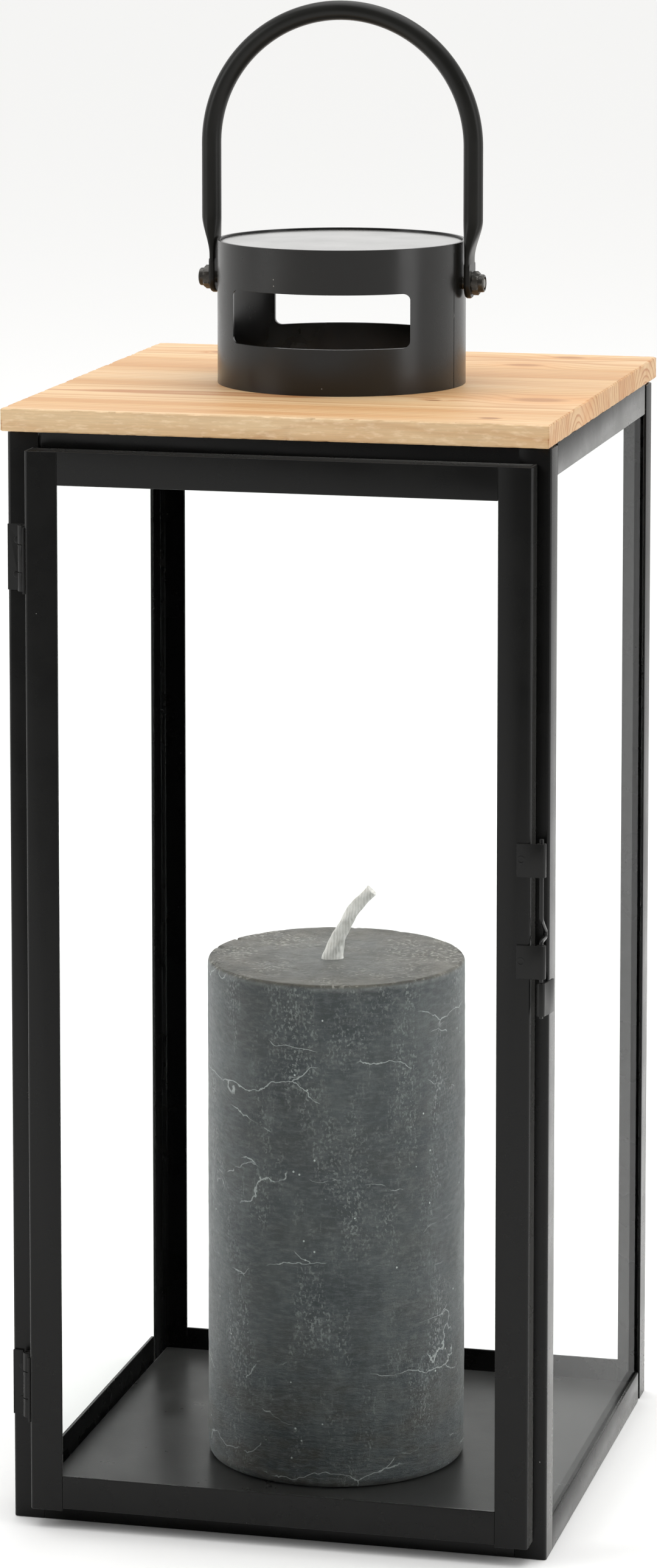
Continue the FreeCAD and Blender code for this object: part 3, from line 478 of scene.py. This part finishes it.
def vent_ring(radius, z):
    ring = []
    for px, py in edge_points:
        angle = math.atan2(py, px)
        ring.append(Vector((radius * math.cos(angle), radius * math.sin(angle), z)))
    return ring


plank = [vent_ring(vent, under + 0.0005), vent_ring(vent + 0.0005, under), vent_ring(vent + 0.001, under),
         outline(0.0024, under, 0.0, 1.0), outline(0.0016, under, 0.0, 1.0),
         outline(0.0004, under, 0.0006, 2.0), outline(0.0, under + 0.0005, 0.0005, 3.0),
         outline(0.00003, under + 0.0014, 0.00012, 4.0), outline(0.00003, over - 0.0014, 0.00012, 5.0),
         outline(0.0, over - 0.00045, 0.0004, 6.0), outline(0.00038, over, 0.0007, 7.0),
         outline(0.0016, over, 0.0, 8.0), outline(0.0024, over, 0.0, 8.0), vent_ring(vent + 0.001, over),
         vent_ring(vent + 0.0005, over), vent_ring(vent, over - 0.0005)]
board_mesh = rings_to_mesh("pine_top", plank, loop=True)
shade(board_mesh, 28)
settle("pine_top", board_mesh, "frame", ["board_front", "board_back"], [pine("planed_pine")])

# ---- Cap ----
# A ring rolled from 1.2 mm sheet and butt welded at the top of its seam, with a window cut in front and
# back. A disc is let into its top, which leaves a fine dark groove round the rim.
shell_low, shell_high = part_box("cap_shell")
cap_radius = shell_high.x
wall = 0.0012
turns = 256


def round_ring(radius, z):
    angles = [2 * math.pi * i / turns for i in range(turns)]
    return [Vector((radius * math.cos(a), radius * math.sin(a), z)) for a in angles]


def scratch_object(name, mesh):
    made = bpy.data.objects.new(name, mesh)
    bpy.context.scene.collection.objects.link(made)
    return made


def cutter_bar(name, outline_points, low, high, direction):
    # A straight bar of any outline for cutting, run along a direction.
    along = Vector(direction)
    first = [p + along * low for p in outline_points]
    second = [p + along * high for p in outline_points]
    return scratch_object(name, rings_to_mesh(name, [first, second], closed_start=True, closed_end=True))


ring_mesh = rings_to_mesh("cap_ring", [round_ring(cap_radius, shell_low.z), round_ring(cap_radius, shell_high.z),
                                       round_ring(cap_radius - wall, shell_high.z),
                                       round_ring(cap_radius - wall, shell_low.z)], loop=True)
ring_object = scratch_object("cap_ring_blank", ring_mesh)
sill, head, half_window, corner = 0.4406, 0.4611, 0.0344, 0.0025
window = []
for cx, cz, start in ((half_window, sill, -90), (half_window, head, 0), (-half_window, head, 90),
                      (-half_window, sill, 180)):
    centre = Vector((cx - math.copysign(corner, cx), 0, cz + (corner if cz == sill else -corner)))
    for i in range(9):
        angle = math.radians(start + 90 * i / 8)
        window.append(centre + Vector((math.cos(angle), 0, math.sin(angle))) * corner)
seam_angle = math.radians(77.0)
seam_out = Vector((math.sin(seam_angle), -math.cos(seam_angle), 0))
seam_side = Vector((math.cos(seam_angle), math.sin(seam_angle), 0))
# The slit reaches from inside the wall to beyond it.
slit_in, slit_out, gap = seam_out * 0.044, seam_out * 0.050, seam_side * 0.0002
slit = [slit_in - gap, slit_out - gap, slit_out + gap, slit_in + gap]
cutters = [cutter_bar("window_cutter", window, -0.06, 0.06, (0, 1, 0)),
           cutter_bar("seam_cutter", slit, shell_low.z - 0.001, shell_high.z - 0.003, (0, 0, 1))]
for cutter in cutters:
    step = ring_object.modifiers.new(cutter.name, "BOOLEAN")
    step.operation = "DIFFERENCE"
    step.solver = "EXACT"
    step.object = cutter
cap_mesh = bpy.data.meshes.new_from_object(ring_object.evaluated_get(bpy.context.evaluated_depsgraph_get()))
for spare in [ring_object] + cutters:
    bpy.data.objects.remove(spare)
work = bmesh.new()
work.from_mesh(cap_mesh)
bmesh.ops.remove_doubles(work, verts=work.verts, dist=2e-6)
bmesh.ops.recalc_face_normals(work, faces=work.faces)
for face in work.faces:
    face.smooth = True
work.to_mesh(cap_mesh)
work.free()
cap_coat = powder_coat("cap_powder_coat", (0.0060, 0.0059, 0.0052), 0.25, peel=0.1, flecks=1.0, shine=0.42,
                       haze=0.03)
cap_piece = settle("cap_ring", cap_mesh, "frame", ["cap_shell"], [cap_coat])
ease = cap_piece.modifiers.new("eased_edges", "BEVEL")
ease.width = 0.0004
ease.segments = 3
ease.limit_method = "ANGLE"
ease.angle_limit = math.radians(40)
ease.harden_normals = True

lid_low, lid_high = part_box("cap_lid")
lid_radius = lid_high.x - 0.0002
lid_mesh = rings_to_mesh("cap_disc", [round_ring(lid_radius, lid_low.z), round_ring(lid_radius, lid_high.z - 0.0003),
                                      round_ring(lid_radius - 0.0001, lid_high.z - 0.0001),
                                      round_ring(lid_radius - 0.0004, lid_high.z),
                                      round_ring(lid_radius - 0.0012, lid_high.z)], closed_start=True,
                         closed_end=True)
shade(lid_mesh, 40)
lid_coat = powder_coat("lid_powder_coat", (0.010, 0.010, 0.0095), 0.18, peel=0.03, flecks=1.6, shine=0.80)
lid_gloss = next(n for n in lid_coat.node_tree.nodes if n.type == "BSDF_PRINCIPLED")
lid_gloss.inputs["Coat Weight"].default_value = 0.6
lid_gloss.inputs["Coat Roughness"].default_value = 0.12
settle("cap_disc", lid_mesh, "frame", ["cap_lid"], [lid_coat])


def weld_bead(name, start, end, width, lumps, seed):
    # A short bead laid along the seam: a row of flattened drops run together.
    along = end - start
    outward = Vector((start.x, start.y, 0)).normalized()
    side = outward.cross(along.normalized())
    rings = []
    steps = 10 * lumps
    for i in range(steps + 1):
        t = i / steps
        swell = math.sin(math.pi * t) ** 0.35 if 0 < t < 1 else 0.02
        swell *= 0.86 + 0.14 * math.cos(2 * math.pi * t * lumps) + 0.12 * noise.noise(Vector((t * 9, seed, 0)))
        centre = start + along * t
        rings.append([centre + side * (0.5 * width * swell * math.cos(a)) + outward *
                      (0.28 * width * swell * math.sin(a)) for a in [2 * math.pi * k / 14 for k in range(14)]])
    mesh = rings_to_mesh(name, rings, closed_start=True, closed_end=True)
    shade(mesh, 60)
    return settle(name, mesh, "frame", [], [cap_coat])


foot = seam_out * (cap_radius - 0.0004)
for name, low, high, width, seed in (("seam_weld_top", shell_high.z - 0.0048, shell_high.z - 0.0004, 0.0017, 3.0),
                                     ("seam_weld_middle", 0.4480, 0.4535, 0.0016, 8.0)):
    weld_bead(name, foot + Vector((0, 0, low)), foot + Vector((0, 0, high)), width, 2, seed)

# ---- Pivot bolts and nuts ----
# An M5 bolt on each side, its pan head inside the cap, and a steel lock nut with a round collar outside the
# handle. The thread shows between the cap and the handle, and at the bolt's end.


def worn_steel(name, colour, gloss, metal):
    finish, tree = blank(name)
    place = add(tree, "TexCoord").outputs["Object"]
    cloud = clouds(tree, place, 420.0, 6.0, 0.7)
    tone = ramp(tree, cloud, (0.3, tuple(0.6 * c for c in colour)), (0.7, tuple(1.35 * c for c in colour)))
    rough = fade(tree, cloud, 0.3, 0.7, gloss + 0.12, gloss - 0.06)
    pits = clouds(tree, place, 2400.0, 3.0)
    grain = add(tree, "Bump", Strength=0.2, Distance=0.00005, Height=pits)
    steel = add(tree, "BsdfPrincipled", Base_Color=tone, Roughness=rough, Normal=grain.outputs[0],
                Metallic=metal)
    return finished(finish, steel)


blacked = worn_steel("blackened_steel", (0.055, 0.052, 0.047), 0.30, 0.75)
bare_thread = worn_steel("thread_steel", (0.20, 0.19, 0.17), 0.28, 1.0)
pivot_z = 0.4622
bolts_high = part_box("pivot_bolts")[1]
nuts_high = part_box("pivot_nuts")[1]


def turned(profile, count=48):
    # A turned solid about the X axis at the pivots' height, from pairs of x and radius.
    rings = []
    for x, radius in profile:
        rings.append([Vector((x, max(radius, 1e-5) * math.cos(2 * math.pi * i / count),
                              pivot_z + max(radius, 1e-5) * math.sin(2 * math.pi * i / count)))
                      for i in range(count)])
    return rings


def thread_turns(name, start, end, pitch, root, crest, finish):
    # The thread as rings spaced a pitch apart along the shank.
    seat = bpy.data.meshes.new(name + "_seat")
    seat.from_pydata([(start, 0, pivot_z)], [], [])
    holder = scratch_object(name + "_seat", seat)
    tree = bpy.data.node_groups.new(name + "_pattern", "GeometryNodeTree")
    tree.interface.new_socket("Start", in_out="INPUT", socket_type="NodeSocketGeometry")
    wanted = {}
    for label in ("Pitch", "Root radius", "Crest radius"):
        wanted[label] = tree.interface.new_socket(label, in_out="INPUT", socket_type="NodeSocketFloat")
    turns_socket = tree.interface.new_socket("Turns", in_out="INPUT", socket_type="NodeSocketInt")
    tree.interface.new_socket("Thread", in_out="OUTPUT", socket_type="NodeSocketGeometry")
    enter, leave = add(tree, "NodeGroupInput"), add(tree, "NodeGroupOutput")
    outer = enter.outputs["Crest radius"]
    mean = times(tree, plus(tree, enter.outputs["Root radius"], outer), 0.5)
    path = add(tree, "GeometryNodeCurvePrimitiveCircle", Resolution=40, Radius=mean)
    tooth = add(tree, "GeometryNodeCurvePrimitiveCircle", Resolution=8,
                Radius=sums(tree, "SUBTRACT", outer, mean))
    swept = add(tree, "GeometryNodeCurveToMesh", Curve=path.outputs["Curve"],
                Profile_Curve=tooth.outputs["Curve"])
    here = add(tree, "GeometryNodeSampleIndex", data_type="FLOAT_VECTOR", Geometry=enter.outputs["Start"],
               Value=add(tree, "GeometryNodeInputPosition").outputs[0])
    apart = add(tree, "CombineXYZ", X=enter.outputs["Pitch"])
    rank = add(tree, "GeometryNodeMeshLine", Count=enter.outputs["Turns"], Offset=apart.outputs[0],
               Start_Location=here.outputs[0])
    repeat = add(tree, "GeometryNodeInstanceOnPoints", Points=rank.outputs["Mesh"],
                 Instance=swept.outputs["Mesh"], Rotation=(0, math.pi / 2, 0))
    values = {wanted["Pitch"]: pitch, wanted["Root radius"]: root, wanted["Crest radius"]: crest,
              turns_socket: int((end - start) / pitch)}
    return grow(name, holder, tree, repeat, leave, finish, values)


bolt_work = bmesh.new()
nut_work = bmesh.new()
for side in (-1, 1):
    shank_end = side * (bolts_high.x - 0.0001)
    head_profile = [(side * x, radius) for x, radius in
                    ((0.0435, 0.0002), (0.0435, 0.0022), (0.0438, 0.0034), (0.0446, 0.0043), (0.0454, 0.0046),
                     (0.0459, 0.0046), (0.0459, 0.0021))]
    bolt = turned(head_profile + [(shank_end - side * 0.0006, 0.0021), (shank_end, 0.0016), (shank_end, 0.0002)])
    mesh = rings_to_mesh("bolt_half", bolt, closed_start=True, closed_end=True)
    shade(mesh, 35)
    bolt_work.from_mesh(mesh)
    start, end = sorted((side * 0.0462, side * (bolts_high.x - 0.0008)))
    turned_thread = thread_turns("bolt_thread_%d" % (side + 1), start, end, 0.0008, 0.00208, 0.00248,
                                 bare_thread)
    bolt_work.from_mesh(turned_thread)
    # The nut: a hexagon whose corners are turned off by a chamfer, then its round collar.
    inner, flat_end, top = 0.05135, 0.0541, nuts_high.x
    rings = []
    for x, limit, six_sided in ((inner, 0.0026, False), (inner, 0.0041, False), (inner + 0.0004, 0.00462, True),
                                (flat_end - 0.0005, 0.00462, True), (flat_end, 0.0040, False),
                                (flat_end, 0.0035, False), (top - 0.0005, 0.0034, False),
                                (top - 0.00012, 0.0031, False), (top, 0.0028, False), (top, 0.00255, False),
                                (top - 0.0006, 0.00245, False)):
        ring = []
        for i in range(72):
            angle = 2 * math.pi * i / 72
            hexagon = 0.004 / math.cos((angle + math.pi / 6) % (math.pi / 3) - math.pi / 6)
            radius = min(limit, hexagon) if six_sided else limit
            ring.append(Vector((side * x, radius * math.cos(angle), pivot_z + radius * math.sin(angle))))
        rings.append(ring)
    mesh = rings_to_mesh("nut_half", rings, loop=True)
    shade(mesh, 28)
    nut_work.from_mesh(mesh)
bolt_mesh = made_mesh(bolt_work, "pivot_bolt_pair")
nut_mesh = made_mesh(nut_work, "lock_nut_pair")
settle("pivot_bolt_pair", bolt_mesh, "frame", ["pivot_bolts"], [bare_thread])
settle("lock_nut_pair", nut_mesh, "frame", ["pivot_nuts"], [blacked])

# ---- Handle ----
# One length of 7.5 mm steel tube bent to an arch. Each end is pressed flat between dies, with a short
# taper above, then drilled for the pivot bolt and rounded off.
eye_x, arch_x, tube = 0.05005, 0.05143, 0.00375
flat, eye_radius = 0.00115, 0.00588
flat_top, taper_top, arch_z = pivot_z + 0.0090, pivot_z + 0.0240, 0.5139
sections = []


def handle_section(centre, ahead, thick, wide, roundness, count=40):
    # One cross-section: a circle at roundness 1, and a flat bar with rounded edges at 0.
    across = Vector((0, 1, 0))
    outward = ahead.cross(across).normalized()
    ring = []
    for i in range(count):
        angle = 2 * math.pi * i / count
        c, s = math.cos(angle), math.sin(angle)
        power = 1.0 / (1.0 + 2.2 * (1.0 - roundness))
        ring.append(centre + outward * (math.copysign(abs(c) ** power, c) * thick) +
                    across * (math.copysign(abs(s) ** (0.5 + 0.5 * power), s) * wide))
    return ring


path = []
for z in (pivot_z + 0.0052, flat_top - 0.001):
    path.append((Vector((-eye_x, 0, z)), Vector((0, 0, 1)), 0.0))
steps = 16
for i in range(steps + 1):
    t = i / steps
    s = t * t * (3 - 2 * t)
    path.append((Vector((-eye_x - (arch_x - eye_x) * s, 0, flat_top + (taper_top - flat_top) * t)),
                 Vector((0, 0, 1)), s))
for i in range(1, 5):
    path.append((Vector((-arch_x, 0, taper_top + (arch_z - taper_top) * i / 5)), Vector((0, 0, 1)), 1.0))
for i in range(0, 97):
    angle = math.pi - math.pi * i / 96
    path.append((Vector((arch_x * math.cos(angle), 0, arch_z + arch_x * math.sin(angle))),
                 Vector((math.sin(angle), 0, -math.cos(angle))), 1.0))
for centre, ahead, s in reversed(path[:-97]):
    path.append((Vector((-centre.x, 0, centre.z)), Vector((0, 0, -1)), s))
for centre, ahead, s in path:
    thick, wide = flat + (tube - flat) * s, eye_radius + (tube - eye_radius) * s
    sections.append(handle_section(centre, ahead, thick, wide, s))
tube_mesh = rings_to_mesh("handle_tube", sections, closed_start=True, closed_end=True)
handle_work = bmesh.new()
handle_work.from_mesh(tube_mesh)
for side in (-1, 1):
    # The flat eye with its drilled hole.
    rings = []
    for radius, x in ((0.00258, -0.00095), (0.00278, -flat), (0.0055, -flat), (eye_radius, -0.0006),
                      (eye_radius, 0.0006), (0.0055, flat), (0.00278, flat), (0.00258, 0.00095)):
        ring = []
        for i in range(64):
            angle = 2 * math.pi * i / 64
            y, z = radius * math.cos(angle), radius * math.sin(angle)
            if radius > 0.004 and z > 0:
                # Above the hole the eye runs on as wide as the flat, up into the tube.
                stretch = (1 - abs(math.cos(angle)) ** 6) if abs(math.cos(angle)) > 0.7 else 1.0
                y = math.copysign(min(radius, abs(y) * 1.5), y)
                z = max(z, 0.0075 * stretch)
            ring.append(Vector((side * eye_x + x, y, pivot_z + z)))
        rings.append(ring)
    handle_work.from_mesh(rings_to_mesh("handle_eye", rings, loop=True))
handle_mesh = made_mesh(handle_work, "carrying_handle")
shade(handle_mesh, 40)
handle_coat = powder_coat("handle_powder_coat", (0.0085, 0.0085, 0.0074), 0.32, peel=0.18, flecks=0.8)
settle("carrying_handle", handle_mesh, "handle", ["handle"], [handle_coat])

# ---- Candle ----
# A rustic pillar candle, poured and then rolled while warm, so that its dyed wax is mottled and scuffed
# with pale scratches, fine cracks and specks. Its rim is dented and its top is rubbed.
candle_low, candle_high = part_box("candle")
stand = (candle_low + candle_high) / 2
girth = (candle_high.x - candle_low.x) / 2
tall = candle_high.z - candle_low.z


def wax(name):
    finish, tree = blank(name)
    place = add(tree, "TexCoord").outputs["Object"]
    z = add(tree, "SeparateXYZ", Vector=place).outputs["Z"]
    top = fade(tree, z, candle_high.z - 0.0016, candle_high.z - 0.0005)

    def veil(scale, stretch, low, high, detail=6.0, seed=0.0, rough=0.6):
        # Cloudy patches between two levels, stretched along or round the candle.
        moved = mapped(tree, place, stretch, (seed, 2 * seed, 3 * seed))
        return fade(tree, clouds(tree, moved, scale, detail, rough), low, high)

    dye = blend_colours(tree, veil(20.0, (1, 1, 1.6), 0.36, 0.64), (0.0235, 0.0315, 0.0350),
                        (0.0420, 0.0500, 0.0520))
    # Browner bands, mostly near the foot.
    foot_band = fade(tree, z, candle_low.z + 0.055, candle_low.z + 0.012, 0.25)
    dye = blend_colours(tree, times(tree, veil(30.0, (1, 1, 3.0), 0.45, 0.6, 5.0, 3.0), foot_band), dye,
                        (0.040, 0.038, 0.031))
    # Fine creases run round it, with pale crumbs of wax rubbed into them.
    creases = veil(190.0, (1, 1, 3.4), 0.47, 0.70, 8.0, 1.0, 0.75)
    dye = blend_colours(tree, times(tree, creases, 0.5), dye, (0.150, 0.166, 0.166))
    crumbs = times(tree, veil(1050.0, (1, 1, 0.7), 0.52, 0.62, 2.0, 2.0),
                  veil(46.0, (1, 1, 0.32), 0.48, 0.68, 6.0, 5.0, 0.75))
    dye = blend_colours(tree, times(tree, crumbs, 0.7), dye, (0.32, 0.345, 0.335))
    film = times(tree, veil(70.0, (1, 1, 0.5), 0.48, 0.72, 8.0, 7.0, 0.75), 0.5)
    dye = blend_colours(tree, film, dye, (0.115, 0.130, 0.130))
    # Thin crooked cracks that come and go, mostly level.
    bent = add(tree, "TexNoise", Vector=place, Scale=60.0, Detail=5.0).outputs["Color"]
    flat = mapped(tree, place, (0.6, 0.6, 2.1))
    shaken = add(tree, "VectorMath", operation="MULTIPLY_ADD")
    tree.links.new(bent, shaken.inputs[0])
    shaken.inputs[1].default_value = (0.022, 0.022, 0.022)
    tree.links.new(flat, shaken.inputs[2])
    net = add(tree, "TexVoronoi", feature="DISTANCE_TO_EDGE", Vector=shaken.outputs[0], Scale=24.0)
    hairline = sums(tree, "LESS_THAN", net.outputs["Distance"], 0.0060)
    broken = times(tree, hairline, veil(24.0, (1, 1, 2.2), 0.54, 0.58, 3.0, 9.0))
    dye = blend_colours(tree, times(tree, broken, 0.8), dye, (0.38, 0.41, 0.40))
    grit = add(tree, "TexVoronoi", Vector=place, Scale=330.0)
    lot = add(tree, "SeparateColor", Color=grit.outputs["Color"]).outputs[1]
    speck = times(tree, sums(tree, "LESS_THAN", grit.outputs["Distance"], 0.13),
                 sums(tree, "GREATER_THAN", lot, 0.968))
    dye = blend_colours(tree, times(tree, speck, 0.85), dye, (0.50, 0.54, 0.52))
    # The top is browner and paler, smeared by handling, with crumbs near the wick.
    smear = ramp(tree, veil(75.0, (1, 0.6, 1), 0.34, 0.68, 8.0, 4.0, 0.75), (0.0, (0.026, 0.026, 0.021)),
                 (0.5, (0.070, 0.066, 0.052)), (1.0, (0.150, 0.142, 0.118)))
    chips = times(tree, veil(620.0, (1, 1, 1), 0.53, 0.60, 3.0, 8.0),
                 veil(65.0, (1, 1, 1), 0.46, 0.60, 4.0, 2.5))
    smear = blend_colours(tree, times(tree, chips, 0.85), smear, (0.36, 0.35, 0.31))
    dye = blend_colours(tree, top, dye, smear)
    # The rounded rim is painted paler in patches: partly pale crumbs of wax, partly a painted highlight along the
    # rim.
    lip = fade(tree, z, candle_high.z - 0.0030, candle_high.z - 0.0014)
    rim_highlight_and_crumbs = times(tree, lip, sums(tree, "SUBTRACT", 1.0, top))
    rim_highlight_and_crumbs = times(tree, rim_highlight_and_crumbs, veil(160.0, (1, 1, 1), 0.35, 0.62, 5.0, 6.5, 0.7))
    dye = blend_colours(tree, times(tree, rim_highlight_and_crumbs, 0.65), dye, (0.21, 0.22, 0.215))
    pores = veil(170.0, (1, 1, 3.6), 0.3, 0.7, 7.0, 6.0, 0.75)
    height = plus(tree, pores, times(tree, crumbs, 0.5))
    height = plus(tree, height, times(tree, broken, 0.8))
    skin = add(tree, "Bump", Strength=0.6, Distance=0.0005, Height=height)
    rough = fade(tree, pores, 0.0, 1.0, 0.40, 0.60)
    body = add(tree, "BsdfPrincipled", Base_Color=dye, Roughness=rough, Normal=skin.outputs[0],
               Subsurface_Weight=0.06, Subsurface_Radius=(0.003, 0.003, 0.003), Subsurface_Scale=0.4,
               Sheen_Weight=0.22, Sheen_Roughness=0.4)
    return finished(finish, body)


around = 220


def wax_ring(radius, z, dent):
    ring = []
    for i in range(around):
        angle = 2 * math.pi * i / around
        px, py = math.cos(angle), math.sin(angle)
        far = Vector((px * 2.2, py * 2.2, z * 30))
        dip = dent * (0.5 + 0.5 * noise.fractal(far, 0.8, 2.1, 4))
        fine = 0.25 * dent * noise.noise(Vector((px * 22, py * 22, z * 420)))
        r = min(radius - max(dip, 0) * 0.8 - fine - 0.1 * dent, radius)
        ring.append(Vector((stand.x + r * px, stand.y + r * py, z)))
    return ring


body_rings = []
for radius, z in ((0.0, 0.0), (girth - 0.004, 0.0), (girth - 0.002, 0.0001), (girth - 0.0008, 0.0006),
                  (girth - 0.0002, 0.0016)):
    body_rings.append(wax_ring(max(radius, 0.0005), candle_low.z + z, 0.0 if z == 0 else 0.0003))
rows = 110
for i in range(rows + 1):
    z = candle_low.z + 0.003 + (tall - 0.0050) * i / rows
    body_rings.append(wax_ring(girth, z, 0.00035))
for i in range(1, 9):
    # The rim rolls over unevenly, with small chips out of it.
    angle = math.pi / 2 * i / 8
    body_rings.append([])
    for k in range(around):
        turn = 2 * math.pi * k / around
        px, py = math.cos(turn), math.sin(turn)
        roll = 0.0013 + 0.0006 * noise.fractal(Vector((px * 5.1, py * 5.1, 40.0)), 0.9, 2.0, 3)
        chip = max(0.0, noise.fractal(Vector((px * 9.0, py * 9.0, 70.0)), 0.8, 2.2, 4) - 0.30) * 0.0036
        r = girth - 0.00025 - roll * (1 - math.cos(angle)) - chip * math.sin(angle)
        z = candle_high.z - 0.0020 + 0.0019 * math.sin(angle) - chip * 0.7
        body_rings[-1].append(Vector((stand.x + r * px, stand.y + r * py, min(z, candle_high.z))))
for i in range(1, 26):
    # The top dips a little towards the wick.
    t = 1 - i / 25
    ring = []
    for k in range(around):
        turn = 2 * math.pi * k / around
        px, py = math.cos(turn), math.sin(turn)
        r = max((girth - 0.0022) * t, 0.0005)
        wave = noise.fractal(Vector((r * px * 45, r * py * 45, 10.0)), 0.8, 2.0, 4)
        sag = 0.0007 * (1 - t * t) + 0.00035 * wave * min(1.0, (1 - t) * 8) + 0.0001
        ring.append(Vector((stand.x + r * px, stand.y + r * py, candle_high.z - 0.0002 - max(sag, 0))))
    body_rings.append(ring)
candle_mesh = rings_to_mesh("pillar_candle", body_rings, closed_start=True, closed_end=True)
shade(candle_mesh, 50)
settle("pillar_candle", candle_mesh, "candle", ["candle"], [wax("rustic_grey_wax")])

# ---- Wick ----
# A stout plaited cotton wick dipped in pale wax, stiff enough to stand bent, thicker at its foot where
# the wax has run down it, and cut off square.


def cotton(name):
    finish, tree = blank(name)
    place = add(tree, "TexCoord").outputs["Object"]
    plait = add(tree, "TexWave", Vector=place, Scale=260.0, Distortion=3.0, Detail=3.0).outputs["Fac"]
    drips = clouds(tree, place, 330.0, 5.0)
    tone = ramp(tree, drips, (0.3, (0.66, 0.66, 0.62)), (0.7, (0.93, 0.93, 0.90)))
    tone = blend_colours(tree, times(tree, plait, 0.25), tone, (0.34, 0.34, 0.31))
    height = plus(tree, plait, drips)
    nap = add(tree, "Bump", Strength=0.6, Distance=0.00025, Height=height)
    rough = fade(tree, drips, 0.0, 1.0, 0.35, 0.7)
    thread = add(tree, "BsdfPrincipled", Base_Color=tone, Roughness=rough, Normal=nap.outputs[0],
                 Subsurface_Weight=0.2, Subsurface_Radius=(0.002, 0.002, 0.002), Subsurface_Scale=0.5)
    return finished(finish, thread)


root = Vector((-0.0016, stand.y, candle_high.z))
bends = [root + Vector((x, 0, z)) for x, z in ((0, -0.004), (0, 0), (0.0022, 0.0062), (0.0050, 0.0125),
                                              (0.0078, 0.0174), (0.0126, 0.0234), (0.01560, 0.0264))]
widths = (0.0050, 0.0039, 0.0029, 0.0024, 0.0025, 0.0022, 0.0024)
strand = []
length = 60
for i in range(length + 1):
    t = i / length * (len(bends) - 1)
    k = min(int(t), len(bends) - 2)
    f = t - k
    before = bends[max(k - 1, 0)]
    after = bends[min(k + 2, len(bends) - 1)]
    a, b = bends[k], bends[k + 1]
    point = 0.5 * ((2 * a) + (b - before) * f + (2 * before - 5 * a + 4 * b - after) * f * f +
                   (3 * a - before - 3 * b + after) * f ** 3)
    slope = (0.5 * ((b - before) + 2 * (2 * before - 5 * a + 4 * b - after) * f +
                    3 * (3 * a - before - 3 * b + after) * f * f)).normalized()
    radius = widths[k] + (widths[k + 1] - widths[k]) * f
    side = Vector((0, 1, 0))
    up = slope.cross(side).normalized()
    ring = []
    for n in range(30):
        angle = 2 * math.pi * n / 30
        lobes = 1 + 0.09 * math.cos(3 * angle + i * 0.30) + 0.10 * noise.noise(Vector((i * 0.25, n * 0.4, 2.0)))
        ring.append(point + (up * math.cos(angle) + side * (0.85 * math.sin(angle))) * radius * lobes)
    strand.append(ring)
wick_mesh = rings_to_mesh("waxed_wick", strand, closed_start=True, closed_end=True)
shade(wick_mesh, 60)
settle("waxed_wick", wick_mesh, "candle", ["wick"], [cotton("waxed_cotton")])

# ---- Floor, light and camera ----
# A pale sweep of floor under soft studio light. The camera stands in front and to the right, a little above.
floor_mesh = bpy.data.meshes.new("studio_floor")
floor_mesh.from_pydata([(-30, -12, -0.0001), (30, -12, -0.0001), (30, 60, -0.0001), (-30, 60, -0.0001)], [],
                       [(0, 1, 2, 3)])
floor = scratch_object("studio_floor", floor_mesh)
paper, tree = blank("pale_paper")
cloud = add(tree, "TexNoise", Scale=1.2, Detail=2.0).outputs["Fac"]
white = ramp(tree, cloud, (0.0, (0.90, 0.90, 0.895)), (1.0, (0.92, 0.92, 0.915)))
finished(paper, add(tree, "BsdfPrincipled", Roughness=0.9, Base_Color=white, Specular_IOR_Level=0.1))
floor_mesh.materials.append(paper)

sky = bpy.data.worlds.new("studio_surround")
bpy.context.scene.world = sky
sky.use_nodes = True
tree = sky.node_tree
tree.nodes.clear()
ways = add(tree, "SeparateXYZ", Vector=add(tree, "TexCoord").outputs["Generated"])
# White paper stands behind and beside the lantern, and the room in front of it is dimmer.
depth = add(tree, "MapRange", Value=ways.outputs["Y"], From_Min=-0.55, From_Max=0.1, To_Min=0.30,
            To_Max=1.0, interpolation_type="SMOOTHSTEP").outputs[0]
glow = add(tree, "Background", Color=(1.0, 0.995, 0.985, 1.0), Strength=depth)
add(tree, "OutputWorld", Surface=glow.outputs[0])


def soft_box(name, place, aim, size, power):
    lamp = bpy.data.lights.new(name, "AREA")
    lamp.shape = "RECTANGLE"
    lamp.size, lamp.size_y = size
    lamp.energy = power
    made = scratch_object(name, lamp)
    made.location = place
    made.rotation_mode = "QUATERNION"
    made.rotation_quaternion = (Vector(aim) - Vector(place)).to_track_quat("-Z", "Y")
    made.visible_camera = False
    return made


noon = bpy.data.lights.new("even_top_light", "SUN")
noon.energy = 0.80
noon.angle = math.radians(70)
scratch_object("even_top_light", noon)
soft_box("overhead_box", (0.2, 0.3, 2.6), (0, 0, 0.2), (2.6, 2.6), 38.0)
soft_box("left_box", (-1.9, -1.2, 1.2), (0, 0, 0.25), (1.0, 1.6), 16.0)
soft_box("right_box", (2.2, -0.5, 0.9), (0, 0, 0.2), (0.8, 1.6), 9.0)

eye = bpy.data.cameras.new("front_right_view")
camera = scratch_object("front_right_view", eye)
turn, dip = math.radians(13.722), math.radians(6.395)
camera.location = (0.459033, -1.901172, 0.662341)
ahead = Vector((-math.sin(turn) * math.cos(dip), math.cos(turn) * math.cos(dip), -math.sin(dip)))
camera.rotation_mode = "QUATERNION"
camera.rotation_quaternion = ahead.to_track_quat("-Z", "Y")
eye.sensor_fit = "AUTO"
eye.sensor_width = 36.0
eye.lens = 117.898253
eye.shift_y = -0.29
eye.clip_start, eye.clip_end = 0.05, 200.0
bpy.context.scene.camera = camera
bpy.context.scene.view_settings.view_transform = "Standard"
bpy.context.scene.view_settings.look = "None"
